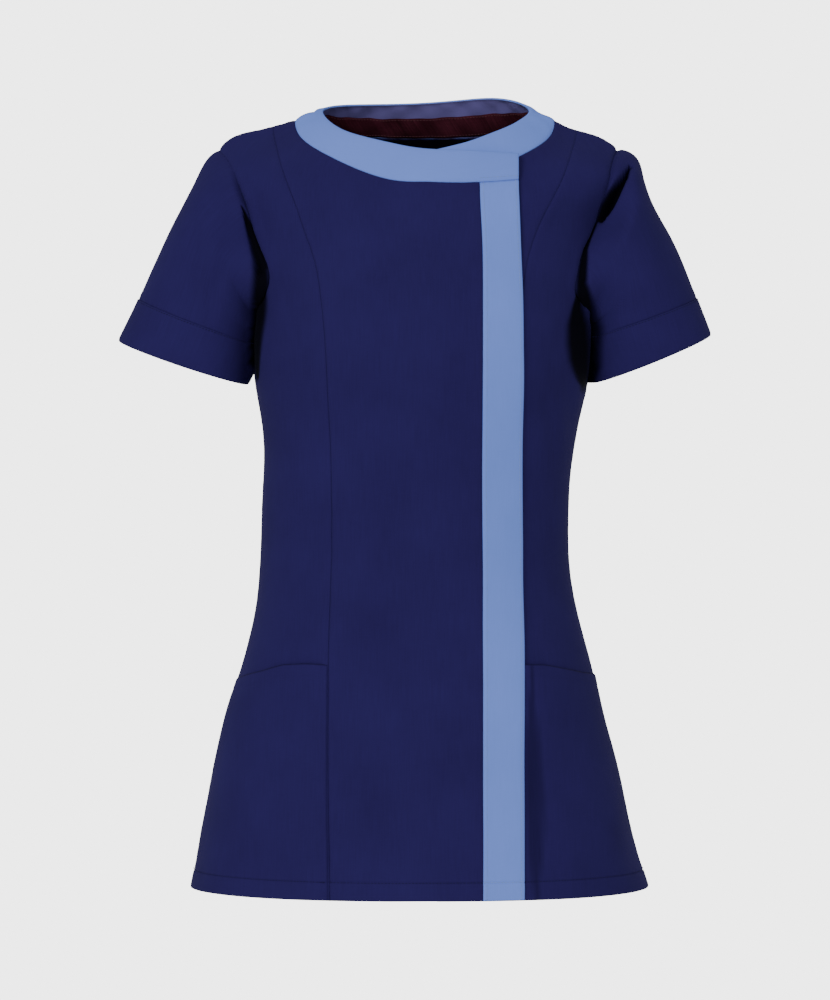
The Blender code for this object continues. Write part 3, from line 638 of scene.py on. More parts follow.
@dataclass(frozen=True)
class Crease:
    """A soft trough or ridge laid on one face along a line of places, each an x and a z.

    Depth is in metres, below nought for a trough. Width is from its middle to where it fades.
    """

    face: Face
    path: tuple[tuple[float, float], ...]
    width: float
    depth: float
    facing: float = 0.25

    def relief(self, points: Array, normals: Array) -> Array:
        """Return how far the cloth stands out, a bell across the line that fades at both ends.

        Args:
            points: Points in metres.
            normals: Their outward directions.

        Returns:
            Heights in metres.
        """
        flat = Edge(np.array([(x, 0.0, z) for x, z in self.path]))
        off, run = flat.measure(points * [1.0, 0.0, 1.0])
        share = run / flat.runs[-1]
        ends = smooth_step(0.0, 0.3, share) * (1 - smooth_step(0.7, 1.0, share))
        toward = -normals[:, 1] if self.face is Face.FRONT else normals[:, 1]
        across = bell(off, self.width) - CREASE_BANK * bell(off, CREASE_BANK_WIDTH * self.width)
        lengthways = CREASE_AT_ENDS + (1 - CREASE_AT_ENDS) * ends
        return self.depth * across * lengthways * smooth_step(0.0, self.facing, toward)


def creases(face: Face, *rows: tuple) -> tuple[Crease, ...]:
    """Return creases on one face from rows of path, width, depth and, where it differs, facing."""
    return tuple(Crease(face, *row) for row in rows)


FRONT = Face.FRONT
BACK = Face.BACK
BODY_CREASES = creases(
    FRONT,
    (((0.096, -0.205), (0.101, -0.232), (0.104, -0.262)), 0.0060, -0.0009),
    (((0.112, -0.255), (0.119, -0.285), (0.123, -0.320)), 0.0065, -0.0011),
    (((0.132, -0.225), (0.136, -0.262), (0.137, -0.305)), 0.0060, -0.0012),
    (((0.098, -0.500), (0.101, -0.590), (0.103, -0.725)), 0.0075, -0.0022),
    (((0.118, -0.540), (0.126, -0.630), (0.133, -0.725)), 0.0140, 0.0012),
    (((-0.146, -0.170), (-0.132, -0.205), (-0.118, -0.228)), 0.0100, -0.0013),
    (((0.146, -0.178), (0.130, -0.205), (0.114, -0.222)), 0.0100, -0.0012),
    (((-0.1700, -0.046), (-0.1608, -0.071), (-0.1515, -0.098), (-0.1410, -0.128)), 0.0050, 0.0013),
    (((-0.1590, -0.055), (-0.1500, -0.083), (-0.1390, -0.112), (-0.1290, -0.140)), 0.0090, -0.0016),
    (((-0.140, -0.345), (-0.110, -0.362), (-0.070, -0.366)), 0.0100, -0.0010),
    (((-0.142, -0.402), (-0.108, -0.398), (-0.060, -0.404)), 0.0090, -0.0009),
    (((0.133, -0.352), (0.112, -0.368), (0.094, -0.372)), 0.0085, -0.0009),
    (((-0.196, -0.560), (-0.200, -0.640), (-0.206, -0.725)), 0.0120, -0.0016, 0.05),
    (((0.182, -0.560), (0.192, -0.640), (0.201, -0.725)), 0.0120, -0.0018, 0.05),
    (((-0.040, -0.560), (-0.034, -0.640), (-0.030, -0.730)), 0.0180, -0.0009),
) + creases(
    BACK,
    (((-0.120, -0.330), (-0.060, -0.352), (0.010, -0.348)), 0.0120, -0.0022),
    (((0.128, -0.322), (0.070, -0.338), (-0.005, -0.342)), 0.0110, -0.0019),
    (((-0.128, -0.392), (-0.050, -0.402), (0.045, -0.396)), 0.0110, -0.0018),
    (((0.130, -0.410), (0.080, -0.402), (0.020, -0.412)), 0.0100, -0.0015),
    (((-0.150, -0.160), (-0.120, -0.205), (-0.085, -0.240)), 0.0120, -0.0020),
    (((0.150, -0.168), (0.121, -0.210), (0.090, -0.238)), 0.0120, -0.0018),
    (((-0.060, -0.560), (-0.072, -0.640), (-0.078, -0.725)), 0.0190, -0.0030),
    (((0.055, -0.555), (0.062, -0.640), (0.072, -0.725)), 0.0200, -0.0028),
    (((-0.005, -0.600), (0.000, -0.660), (0.002, -0.725)), 0.0180, 0.0016),
)
SLEEVE_CREASES = creases(
    FRONT,
    (((-0.177, -0.040), (-0.171, -0.070), (-0.158, -0.100)), 0.0055, 0.0034),
    (((-0.196, -0.120), (-0.205, -0.170), (-0.212, -0.215)), 0.0100, -0.0016),
    (((-0.176, -0.125), (-0.190, -0.165), (-0.196, -0.200)), 0.0080, -0.0018),
    (((0.196, -0.035), (0.182, -0.062), (0.165, -0.096)), 0.0050, -0.0050, 0.05),
    (((0.178, -0.120), (0.192, -0.165), (0.200, -0.205)), 0.0090, -0.0018),
    (((0.214, -0.080), (0.228, -0.130), (0.240, -0.175)), 0.0110, -0.0010),
) + creases(
    BACK,
    (((-0.165, -0.100), (-0.182, -0.150), (-0.192, -0.200)), 0.0090, -0.0024),
    (((0.165, -0.100), (0.180, -0.150), (0.190, -0.200)), 0.0090, -0.0024),
    (((-0.195, -0.070), (-0.216, -0.120), (-0.228, -0.170)), 0.0110, -0.0012),
    (((0.195, -0.070), (0.212, -0.125), (0.222, -0.175)), 0.0110, -0.0012),
)
HOLLOW_FADE = (0.55, 1.45)
HOLLOW_REACH = 0.040


@dataclass(frozen=True)
class Hollow:
    """A deep hollow where pieces meet, along rows of x, z and half width as seen from the front, darkened by
    painted shade.
    """

    rows: tuple[Triple, ...]
    depth: float
    facing: tuple[float, float] = (-0.35, 0.10)
    painted_shade: float = 1.0

    def share(self, points: Array, normals: Array) -> Array:
        """Return how deep in the hollow each point is, from 0 to 1.

        Formula: 1 less a smooth step of the distance from the line over its half width there,
        on cloth that faces the front or sideways.

        Args:
            points: Points in metres.
            normals: Their outward directions.

        Returns:
            Shares from 0 to 1.
        """
        rows = np.array(self.rows)
        flat = Edge(np.column_stack((rows[:, 0], np.zeros(len(rows)), rows[:, 1])))
        off, run = flat.measure(points * [1.0, 0.0, 1.0], HOLLOW_REACH)
        inside = 1 - smooth_step(*HOLLOW_FADE, off / np.interp(run, flat.runs, rows[:, 2]))
        return inside * smooth_step(*self.facing, -normals[:, 1])


ALL_ROUND = (-1.30, -0.90)
# Painted shade where the sleeves meet the body and in the crease at the left sleeve's head; each hollow also
# presses the cloth in by its depth.
SLEEVE_HOLLOWS = (
    Hollow(((-0.1632, -0.0845, 0.0006), (-0.1592, -0.0950, 0.0020), (-0.1552, -0.1045, 0.0035),
            (-0.1510, -0.1160, 0.0046), (-0.1468, -0.1301, 0.0056), (-0.1446, -0.1400, 0.0063)), 0.0060),
    Hollow(((-0.1456, -0.1400, 0.0066), (-0.1455, -0.1548, 0.0080), (-0.1474, -0.1722, 0.0074),
            (-0.1501, -0.1914, 0.0062), (-0.1529, -0.2097, 0.0052), (-0.1547, -0.2252, 0.0040)),
           0.0015, ALL_ROUND),
    Hollow(((0.1612, -0.0970, 0.0010), (0.1548, -0.1110, 0.0018), (0.1500, -0.1228, 0.0026),
            (0.1473, -0.1411, 0.0040), (0.1462, -0.1540, 0.0048)), 0.0024),
    Hollow(((0.1462, -0.1540, 0.0048), (0.1485, -0.1777, 0.0105), (0.1512, -0.1959, 0.0145),
            (0.1518, -0.2142, 0.0125), (0.1537, -0.2307, 0.0105), (0.1546, -0.2417, 0.0060)),
           0.0015, ALL_ROUND),
    Hollow(((0.1930, -0.0441, 0.0012), (0.1839, -0.0587, 0.0030), (0.1756, -0.0715, 0.0048),
            (0.1692, -0.0834, 0.0050), (0.1637, -0.0953, 0.0030)), 0.0085),
)
# Painted shade on the body's sides where the sleeves shade them, and a painted shadow beside the strip's
# outer edge.
BODY_HOLLOWS = (
    Hollow(((-0.1440, -0.1535, 0.0020), (-0.1468, -0.1640, 0.0060), (-0.1492, -0.1760, 0.0080),
            (-0.1503, -0.1914, 0.0073), (-0.1510, -0.2097, 0.0059), (-0.1510, -0.2280, 0.0037),
            (-0.1501, -0.2399, 0.0018)), 0.0012),
    Hollow(((0.1432, -0.1640, 0.0020), (0.1434, -0.1795, 0.0062), (0.1440, -0.1914, 0.0100),
            (0.1448, -0.2097, 0.0118), (0.1456, -0.2234, 0.0108), (0.1480, -0.2371, 0.0075),
            (0.1500, -0.2472, 0.0037)), 0.0012),
    # Painted shadow of the strip on the cloth beside it, with no depth.
    Hollow(((0.0985, -0.5000, 0.0002), (0.0995, -0.5350, 0.0028), (0.1008, -0.5700, 0.0062),
            (0.1025, -0.6200, 0.0082), (0.1025, -0.6650, 0.0060), (0.1020, -0.7050, 0.0022)),
           0.0, painted_shade=0.34),
)


def in_hollows(hollows: tuple[Hollow, ...], points: Array, normals: Array) -> Pair:
    """Return the depth that hollows press the points in by, and the painted shade that they give there.

    Args:
        hollows: The hollows.
        points: Points in metres.
        normals: Their outward directions.

    Returns:
        The depths in metres, and the painted shade from 0 to 1.
    """
    shares = np.array([hollow.share(points, normals) for hollow in hollows])
    depths = np.array([hollow.depth for hollow in hollows])[:, None]
    painted_shade = np.array([hollow.painted_shade for hollow in hollows])[:, None]
    return (shares * depths).sum(axis=0), (shares * painted_shade).max(axis=0)


def sway(points: Array) -> Array:
    """Return the cloth's slow unevenness, a sum of slanted waves 50 to 120 mm long."""
    x, y, z = points.T
    slow = 0.00045 * np.sin(33 * x + 21 * z + 40 * y + 0.7) + 0.00040 * np.sin(-24 * x + 45 * z + 1.9)
    quick = 0.00016 * np.sin(74 * x - 61 * z + 50 * y + 2.6) + 0.00012 * np.sin(96 * x + 83 * z + 0.4)
    return slow + quick


@dataclass
class Cloth:
    """A grid of cloth: its outer points, their outward directions, its faces and its weave map."""

    points: Array
    normals: Array
    faces: Faces
    weave: Array
    # Painted shade from 0 to 1, which darkens the cloth's colour in hollows.
    shade: Array | None = None

    def moved(self, out: Array, shade: Array | None = None) -> "Cloth":
        """Return the cloth with its points moved out, and with the painted shade given for its hollows."""
        points = self.points + self.normals * np.asarray(out)[..., None]
        return Cloth(points, self.normals, self.faces, self.weave, self.shade if shade is None else shade)

    def grids(self, shape: tuple[int, ...]) -> Pair:
        """Return the points and directions by row and column."""
        return self.points.reshape(shape), self.normals.reshape(shape)


def face_list(corners: Array) -> Faces:
    """Return an array of face corners as the tuples that a mesh takes."""
    return [tuple(face) for face in corners.tolist()]


def grid_faces(rows: int, columns: int, closed: bool = False) -> Array:
    """Return the four corners of each face of a grid, seen from outside.

    Args:
        rows: How many rows.
        columns: How many columns.
        closed: True where the last column meets the first.

    Returns:
        Numbers of corners, four for each face.
    """
    last = columns if closed else columns - 1
    i, j = np.meshgrid(np.arange(rows - 1), np.arange(last), indexing="ij")
    k = (j + 1) % columns
    corners = (i * columns + j, i * columns + k, (i + 1) * columns + k, (i + 1) * columns + j)
    return np.stack(corners, axis=-1).reshape(-1, 4)


def laid(places: Array, faces: Faces, lift: Lift | None = None, out: float = 0.0) -> Cloth:
    """Lay cloth on the form.

    Args:
        places: Places (angle, run).
        faces: The faces between them.
        lift: How far the cloth lies out, from x.
        out: How far all of it lies out.

    Returns:
        The cloth, with a weave map in metres round and up the body.
    """
    points, normals = FORM.surface(places), FORM.normals(places)
    rise = out + (lift(points[:, 0]) if lift else np.zeros(len(points)))
    weave = np.column_stack((FORM.arc(places), places[:, 1]))
    return Cloth(points + normals * rise[:, None], normals, faces, weave)


def body_cloth(blocks: list[Array], lift: Lift | None = None, out: float = 0.0) -> Cloth:
    """Weld blocks of places on the form into one piece of cloth.

    Args:
        blocks: Grids of places (angle, run) that share the places where they meet.
        lift: How far the cloth lies out, from x.
        out: How far all of it lies out.

    Returns:
        The cloth.
    """
    places, faces, first = [], [], 0
    for block in blocks:
        places.append(block.reshape(-1, 2))
        faces.append(grid_faces(*block.shape[:2]) + first)
        first += len(places[-1])
    every = np.concatenate(places)
    keys = np.round(every / [0.001, 0.000002]).astype(np.int64)
    _, kept, numbers = np.unique(keys, axis=0, return_index=True, return_inverse=True)
    places = every[kept]
    faces = numbers.reshape(-1)[np.concatenate(faces)]
    return laid(places, face_list(faces), lift, out)


def grid_cloth(points: Array, closed: bool = False, flip: bool = False) -> Cloth:
    """Make cloth of one grid of points, with directions square to its rows and columns.

    Args:
        points: Points by row and column.
        closed: True where the last column meets the first.
        flip: True where the columns run the other way round.

    Returns:
        The cloth, with a weave map in metres along its columns and rows.
    """
    rows, columns = points.shape[:2]
    padded = np.concatenate((points[:, -1:], points, points[:, :1]), axis=1) if closed else points
    along = np.gradient(padded, axis=1)
    along = along[:, 1:-1] if closed else along
    normals = unit(np.cross(along, np.gradient(points, axis=0)))
    faces = grid_faces(rows, columns, closed)
    if flip:
        normals, faces = -normals, faces[:, ::-1]
    across = chords(points, axis=1)
    weave = np.stack((across - across[:, :1], chords(points, axis=0)), axis=-1)
    return Cloth(points.reshape(-1, 3), normals.reshape(-1, 3), face_list(faces), weave.reshape(-1, 2))


class Link:
    """A node's output that can be used in a sum, as a number can."""

    def __init__(self, shader: "Shader", socket: bpy.types.NodeSocket) -> None:
        """Wrap one socket of a shader."""
        self.shader = shader
        self.socket = socket

    def _math(self, operation: str, *values: "Link | float") -> "Link":
        """Return one Math node on the values."""
        return self.shader.node("ShaderNodeMath", {"operation": operation}, dict(enumerate(values)))

    def __add__(self, other: "Link | float") -> "Link":
        """Add."""
        return self._math("ADD", self, other)

    __radd__ = __add__

    def __sub__(self, other: "Link | float") -> "Link":
        """Subtract."""
        return self._math("SUBTRACT", self, other)

    def __rsub__(self, other: float) -> "Link":
        """Subtract from a number."""
        return self._math("SUBTRACT", other, self)

    def __mul__(self, other: "Link | float") -> "Link":
        """Multiply."""
        return self._math("MULTIPLY", self, other)

    __rmul__ = __mul__


class Shader:
    """One material's nodes."""

    def __init__(self, name: str) -> None:
        """Start a material with its usual shader."""
        self.material = bpy.data.materials.new(name)
        self.material.use_nodes = True
        self.tree = self.material.node_tree
        self.principled = self.tree.nodes["Principled BSDF"]

    def node(self, kind: str, settings: dict[str, object], values: dict, output: str | int = 0) -> Link:
        """Add a node.

        Args:
            kind: The node's type.
            settings: What is set on it first.
            values: Numbers or links for its sockets, by name or number.
            output: The output that is wanted.

        Returns:
            The output as a link.
        """
        made = self.tree.nodes.new(kind)
        for name, value in settings.items():
            setattr(made, name, value)
        for name, value in values.items():
            self._feed(made.inputs[name], value)
        return Link(self, made.outputs[output])

    def _feed(self, socket: bpy.types.NodeSocket, value: object) -> None:
        """Link or set one socket."""
        if isinstance(value, Link):
            self.tree.links.new(value.socket, socket)
        else:
            socket.default_value = value

    def feed(self, name: str, value: object) -> None:
        """Link or set one socket of the shader itself."""
        self._feed(self.principled.inputs[name], value)

    def scaled(self, vector: Link, scale: Triple) -> Link:
        """Return a vector times three numbers."""
        return self.node("ShaderNodeVectorMath", {"operation": "MULTIPLY"}, {0: vector, 1: scale})

    def noise(self, vector: Link, scale: float, detail: float) -> Link:
        """Return even noise from 0 to 1."""
        values = {"Vector": vector, "Scale": scale, "Detail": detail}
        return self.node("ShaderNodeTexNoise", {}, values, "Fac")

    def tint(self, share: Link, dark: tuple, light: tuple) -> Link:
        """Return a colour between two by a share."""
        return self.mix(share, (*dark, 1.0), light)

    def mix(self, share: Link, first: Link | tuple, second: tuple) -> Link:
        """Return a colour between a first, plain or linked, and a second by a share."""
        return self.node("ShaderNodeMix", {"data_type": "RGBA"}, {0: share, 6: first, 7: (*second, 1.0)}, 2)


@dataclass(frozen=True)
class Weave:
    """Plain-dyed twill: its colour, how much that varies, and its threads."""

    name: str
    slot: str
    colour: Triple
    unevenness: float = 0.16
    grain: float = 0.22
    thread: float = 0.00062
    roughness: float = 0.82
    sheen: float = 0.12
    sheen_tint: Triple = (0.6, 0.65, 0.9)
    relief: float = 0.00010
    # How much the inside faces are darkened, as painted shade.
    inside_shade: Triple = (0.30, 0.30, 0.30)
    # Share of the colour left under the deepest painted shade.
    in_hollows: float = 0.04
    clouds: float = 16.0
    streaks: Triple = (900.0, 34.0, 1.0)
    slubs: Triple = (90.0, 1400.0, 1.0)

    def inside(self) -> "Weave":
        """Return the cloth of the inside faces: duller, and darker by painted shade since the inside lies out
        of the light.
        """
        colour = tuple(c * share for c, share in zip(self.colour, self.inside_shade))
        return replace(self, name=f"{self.name}_inside", colour=colour, sheen=0.0,
                       unevenness=self.unevenness * 2)

    def material(self) -> bpy.types.Material:
        """Build the twill.

        Formula: the colour runs between darker and lighter by the sum of a cloudy noise, fine
        upright streaks and the twill's slanted ridges, a sine of the sum of the weave map's
        two lengths. The same ridges and streaks are the bump.

        Returns:
            The material.
        """
        shader = Shader(self.name)
        weave = shader.node("ShaderNodeUVMap", {"uv_map": "weave"}, {})
        place = shader.node("ShaderNodeTexCoord", {}, {}, "Object")
        cloud = shader.noise(place, self.clouds, 3.0)
        streak = shader.noise(shader.scaled(weave, self.streaks), 1.0, 2.0)
        slub = shader.noise(shader.scaled(weave, self.slubs), 1.0, 1.0)
        apart = shader.node("ShaderNodeSeparateXYZ", {}, {0: weave}, "X")
        upward = shader.node("ShaderNodeSeparateXYZ", {}, {0: weave}, "Y")
        turns = 6.2832 / self.thread
        wave = shader.node("ShaderNodeMath", {"operation": "SINE"}, {0: (apart + upward) * turns})
        ridge = wave * 0.5 + 0.5
        share = 0.5 + (cloud - 0.5) * 1.2 + (streak - 0.5) * 0.8 + (slub - 0.5) * 0.3 + (ridge - 0.5) * 0.35
        dark = tuple(c * (1 - self.unevenness) for c in self.colour)
        light = tuple(c * (1 + self.unevenness) for c in self.colour)
        # Painted shade: the "hollow" attribute, from 0 to 1, darkens the colour toward in_hollows times it.
        hollow = shader.node("ShaderNodeAttribute", {"attribute_name": "hollow"}, {}, "Fac")
        deep = tuple(c * self.in_hollows for c in self.colour)
        colour = shader.tint(share, dark, light)
        shader.feed("Base Color", shader.mix(hollow, colour, deep))
        shader.feed("Roughness", self.roughness + (streak - 0.5) * 0.10)
        height = ridge * 0.5 + streak * self.grain * 2 + slub * self.grain
        values = {"Height": height, "Distance": self.relief, "Strength": 0.55}
        shader.feed("Normal", shader.node("ShaderNodeBump", {}, values, "Normal"))
        shader.feed("Sheen Weight", self.sheen)
        shader.feed("Sheen Roughness", 0.45)
        shader.feed("Sheen Tint", (*self.sheen_tint, 1.0))
        shader.feed("Specular IOR Level", 0.04)
        return shader.material


@dataclass(frozen=True)
class Thread:
    """Sewing thread: its colour, with a slight sheen."""

    name: str
    slot: str
    colour: Triple

    def material(self) -> bpy.types.Material:
        """Build the thread, whose colour varies a little from stitch to stitch.

        Returns:
            The material.
        """
        shader = Shader(self.name)
        place = shader.node("ShaderNodeTexCoord", {}, {}, "Object")
        share = shader.noise(place, 420.0, 1.0)
        dark = tuple(c * 0.85 for c in self.colour)
        light = tuple(min(1.0, c * 1.2) for c in self.colour)
        shader.feed("Base Color", shader.tint(share, dark, light))
        shader.feed("Roughness", 0.75)
        shader.feed("Specular IOR Level", 0.15)
        return shader.material


# The inside faces are darkened as painted shade: almost black inside the navy body, darker and greyer inside
# the sky collar.
NAVY = Weave("navy_twill", "navy_cloth", (0.0176, 0.0122, 0.0800), sheen=0.02, inside_shade=(0.08, 0.06, 0.05))
SKY = Weave("sky_twill", "sky_cloth", (0.155, 0.250, 0.720), unevenness=0.05, sheen=0.02,
            inside_shade=(0.70, 0.37, 0.36))
MAROON = Weave("maroon_tape", "maroon_cloth", (0.044, 0.0075, 0.015), sheen=0.02, unevenness=0.60,
               sheen_tint=(0.9, 0.6, 0.65), inside_shade=(1.0, 1.0, 1.0))
NAVY_THREAD = Thread("navy_thread", "navy_cloth", (0.0080, 0.0060, 0.0450))
SKY_THREAD = Thread("sky_thread", "sky_cloth", (0.22, 0.31, 0.58))
MAROON_THREAD = Thread("maroon_thread", "maroon_cloth", (0.10, 0.035, 0.045))
BUILT: dict[str, bpy.types.Material] = {}


def finished(finish: Weave | Thread) -> bpy.types.Material:
    """Return a finish's material, built once."""
    if finish.name not in BUILT:
        BUILT[finish.name] = finish.material()
    return BUILT[finish.name]


def add_mesh(name: str, points: Array, faces: Faces, finish: Weave | Thread,
             weave: Array | None = None, shade: Array | None = None) -> bpy.types.Object:
    """Make a smooth mesh piece that rides on the body.

    Args:
        name: The piece's name.
        points: Its points in metres.
        faces: Its faces, seen from outside.
        finish: What it is made of.
        weave: The weave map of its points, if it is cloth.
        shade: The painted shade of its points in hollows, if it is cloth.

    Returns:
        The object, at the origin.
    """
    mesh = bpy.data.meshes.new(name)
    mesh.from_pydata(points.tolist(), [], faces)
    mesh.polygons.foreach_set("use_smooth", np.ones(len(mesh.polygons), bool))
    if weave is not None:
        corners = np.empty(len(mesh.loops), np.int64)
        mesh.loops.foreach_get("vertex_index", corners)
        layer = mesh.uv_layers.new(name="weave")
        layer.data.foreach_set("uv", weave[corners].astype(np.float32).ravel())
        # The "hollow" attribute holds the painted shade, nought where none is given.
        dark = mesh.attributes.new("hollow", "FLOAT", "POINT")
        dark.data.foreach_set("value", (np.zeros(len(points)) if shade is None else shade).astype(np.float32))
    mesh.materials.append(finished(finish))
    made = bpy.data.objects.new(name, mesh)
    bpy.context.scene.collection.objects.link(made)
    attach(made, "root")
    return made


def add_cloth(name: str, node: str, cloth: Cloth, finish: Weave, wall: float) -> bpy.types.Object:
    """Make a cloth piece with a wall inside its outer points, in place of a node.

    Args:
        name: The piece's name.
        node: The node that it replaces.
        cloth: Its outer face.
        finish: What it is made of.
        wall: How thick it is.

    Returns:
        The object.
    """
    made = add_mesh(name, cloth.points, cloth.faces, finish, cloth.weave, cloth.shade)
    # The inner shell takes the inside material, darkened by painted shade.
    made.data.materials.append(finished(finish.inside()))
    thicken = made.modifiers.new("wall", "SOLIDIFY")
    thicken.thickness = wall
    thicken.offset = -1.0
    thicken.material_offset = 1
    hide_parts(node)
    return made


@dataclass(frozen=True)
class Cut:
    """What a sheet was cut to: width, length and area, and what it hangs from."""

    width: float
    length: float
    area: float
    held: str = "hung"
    rests_on: Names = ()


ROD_SIDES = 6
ROD_ALONG = (-0.5, -0.30, 0.0, 0.30, 0.5)
ROD_SWELL = (0.35, 0.85, 1.0, 0.85, 0.35)
ROD_LIFT = (-1.0, 0.0, 0.6, 0.0, -1.0)
TANGENT_STEP = 0.0005


def read_off(at: Array, runs: Array, rows: Array) -> Array:
    """Return rows of three numbers read off a line at lengths along it."""
    return np.stack([np.interp(at, runs, rows[:, i]) for i in range(3)], axis=-1)


@dataclass(frozen=True)
class Stitches:
    """A row of stitches: their spacing, length, thickness and how far they stand out."""

    spacing: float = 0.0030
    length: float = 0.0024
    radius: float = 0.00028
    out: float = 0.00008

    def build(self, points: Array, normals: Array) -> tuple[Array, Faces]:
        """Return the points and faces of stitches along a line on the cloth.

        Formula: each stitch is a small round rod along the line, of five six-sided rings whose
        radius swells from its ends to its middle, and whose ends dip into the cloth.

        Args:
            points: The line's points.
            normals: Their outward directions.

        Returns:
            The points and the faces.
        """
        runs = chords(points)
        count = max(1, int(runs[-1] / self.spacing))
        middle = (np.arange(count) + 0.5) * runs[-1] / count
        centre, away = read_off(middle, runs, points), unit(read_off(middle, runs, normals))
        behind, beyond = (read_off(middle + step, runs, points) for step in (-TANGENT_STEP, TANGENT_STEP))
        ahead = unit(beyond - behind)
        beside = np.cross(away, ahead)
        along = np.array(ROD_ALONG) * self.length
        swell = np.array(ROD_SWELL) * self.radius
        lift = np.array(ROD_LIFT) * self.radius + self.out
        turn = np.arange(ROD_SIDES) * np.pi / (ROD_SIDES / 2)
        ring = (np.cos(turn)[None, :, None] * away[:, None, None]
                + np.sin(turn)[None, :, None] * beside[:, None, None])
        rods = (centre[:, None, None] + ahead[:, None, None] * along[None, :, None, None]
                + away[:, None, None] * lift[None, :, None, None] + ring * swell[None, :, None, None])
        side = grid_faces(len(ROD_ALONG), ROD_SIDES, closed=True)[:, ::-1]
        corners = len(ROD_ALONG) * ROD_SIDES
        first = corners * np.arange(count)[:, None]
        faces = face_list((side[None] + first[:, :, None]).reshape(-1, 4))
        cap = np.arange(ROD_SIDES)
        return rods.reshape(-1, 3), faces + face_list(cap + first) + face_list(corners - 1 - cap + first)


def add_stitches(name: str, lines: list[Pair], finish: Thread) -> bpy.types.Object:
    """Make rows of stitches along several lines of points and directions, as one piece.

    Args:
        name: The piece's name.
        lines: Points and directions of each line.
        finish: The thread.

    Returns:
        The object.
    """
    points, faces, first = [], [], 0
    for line_points, line_normals in lines:
        more, corners = Stitches().build(line_points, line_normals)
        points.append(more)
        faces += [tuple(corner + first for corner in face) for face in corners]
        first += len(more)
    return add_mesh(name, np.concatenate(points), faces, finish)


def lap_neck(first: float, last: float, shares: Array) -> Array:
    """Return the places of the neck line across the lap, between two distances from centre."""
    curve = Spline([place.x for place in LAP_NECKLINE], [[place.z] for place in LAP_NECKLINE])
    across = first + (last - first) * shares
    return np.array(located(tuple(Place(x, z) for x, z in zip(across, curve(across)[:, 0])), FRONT))


def lap_neck_places() -> Pair:
    """Return the lapping front's neck line, from the right neck point to the strip, and the strip's.

    Returns:
        The two stretches of the neck line.
    """
    neck = line((-90.0, NECK_RUN), (0.0, NECK_RUN), spread(NECK_FRONT_COLUMNS))
    inner = lap_neck(0.0, STRIP_INNER_EDGE[-1].x, spread(LAP_COLUMNS, end=0.6))
    outer = lap_neck(STRIP_INNER_EDGE[-1].x, STRIP_OUTER_EDGE[-1].x, STRIP_SHARES)
    inner[0] = neck[-1]
    return joined(neck, inner), outer


def underlap_neck_places() -> Array:
    """Return the neck line of the front beneath, from its edge to the left neck point."""
    angle = np.degrees(np.arcsin(UNDERLAP_EDGE_X / BODY_RINGS[-1].left))
    return line((angle, NECK_RUN), (90.0, NECK_RUN), spread(UNDERLAP_COLUMNS))


def back_neck_places() -> Array:
    """Return the back's neck line, from the left neck point to the right."""
    return line((-270.0, NECK_RUN), (-90.0, NECK_RUN), spread(NECK_BACK_COLUMNS, 0.5, 0.5))


def shoulder_places(side: Side, face: Face) -> Pair:
    """Return the places up one shoulder seam: tip to princess seam, then on to the neck."""
    angle = SIDE_ANGLE[side, face]
    crossing = (angle, FORM.shoulder_run(side, PRINCESS_TOP[side]))
    outer = line((angle, TIP_RUN), crossing, SIDE_SHARES)
    return outer, line(crossing, (angle, NECK_RUN), spread(SHOULDER_COLUMNS, end=0.6))


def front_side_blocks(side: Side) -> list[Array]:
    """Return the two blocks of a side front, below and beside the armhole, from side seam inward.

    Args:
        side: The wearer's side.

    Returns:
        Grids of places.
    """
    lower, upper = princess(side)
    armpit, rise = armhole(side, FRONT)
    outer, _ = shoulder_places(side, FRONT)
    ledge = line(armpit[-1], lower[-1], SIDE_SHARES)
    seam = side_rows(side, FRONT)
    top = joined(armpit, ledge)
    across = spread(len(top) - 1, 0.75, 0.75)
    hem = line(seam[0], lower[0], across)
    return [fill(seam, lower, hem, top), fill(rise, upper, ledge, outer)]


def back_blocks() -> list[Array]:
    """Return the two blocks of the back, below and between the armholes.

    Returns:
        Grids of places.
    """
    armpits, rises = {}, {}
    for side in Side:
        armpits[side], rise = armhole(side, BACK)
        rises[side] = joined(rise, *shoulder_places(side, BACK))
    neck = back_neck_places()
    ledge = line(armpits[Side.LEFT][-1], armpits[Side.RIGHT][-1], spread(NECK_BACK_COLUMNS, 0.5, 0.5))
    hem = line((-270.0, 0.0), (-90.0, 0.0), spread(NECK_BACK_COLUMNS + 2 * ARMPIT_COLUMNS, 0.6, 0.6))
    top = joined(armpits[Side.LEFT], ledge, armpits[Side.RIGHT][::-1])
    below = fill(side_rows(Side.LEFT, BACK), side_rows(Side.RIGHT, BACK), hem, top)
    return [below, fill(rises[Side.LEFT], rises[Side.RIGHT], ledge, neck)]


def centre_blocks(edge: Array, seam: Array, neck: Array, columns: int) -> list[Array]:
    """Return the two blocks of a centre front, below and beside the neck, from edge to seam.

    Args:
        edge: Places up the free edge, to the neck.
        seam: Places up the princess seam.
        neck: Places of the neck line, from the edge.
        columns: Columns from edge to seam.

    Returns:
        Grids of places.
    """
    foot = len(edge)
    across = spread(columns, 0.8, 0.8)
    hem = line(edge[0], seam[0], across)
    ledge = line(edge[-1], seam[foot - 1], across)
    shoulder = line(neck[-1], seam[-1], across)
    return [fill(edge, seam[:foot], hem, ledge), fill(neck, seam[foot - 1:], ledge, shoulder)]


def strip_rows(table: Places, steps: int) -> Array:
    """Return the places of the rows up one edge of the strip."""
    seam = Seam(traced(table))
    return joined(*edge_rows(seam, PRINCESS_CORNER_Z[Side.RIGHT], spread(steps, end=0.5)))


@dataclass(frozen=True)
class SewnLine:
    """A seam or edge of the body: its line, how the cloth lies beside it, and its gathering."""

    edge: Edge
    finish: Finish
    seed: float

    def relief(self, points: Array) -> Array:
        """Return how far the cloth stands out at the points because of this line."""
        off, run = self.edge.measure(points, 0.030)
        return edge_relief(self.finish, off, run, self.seed)


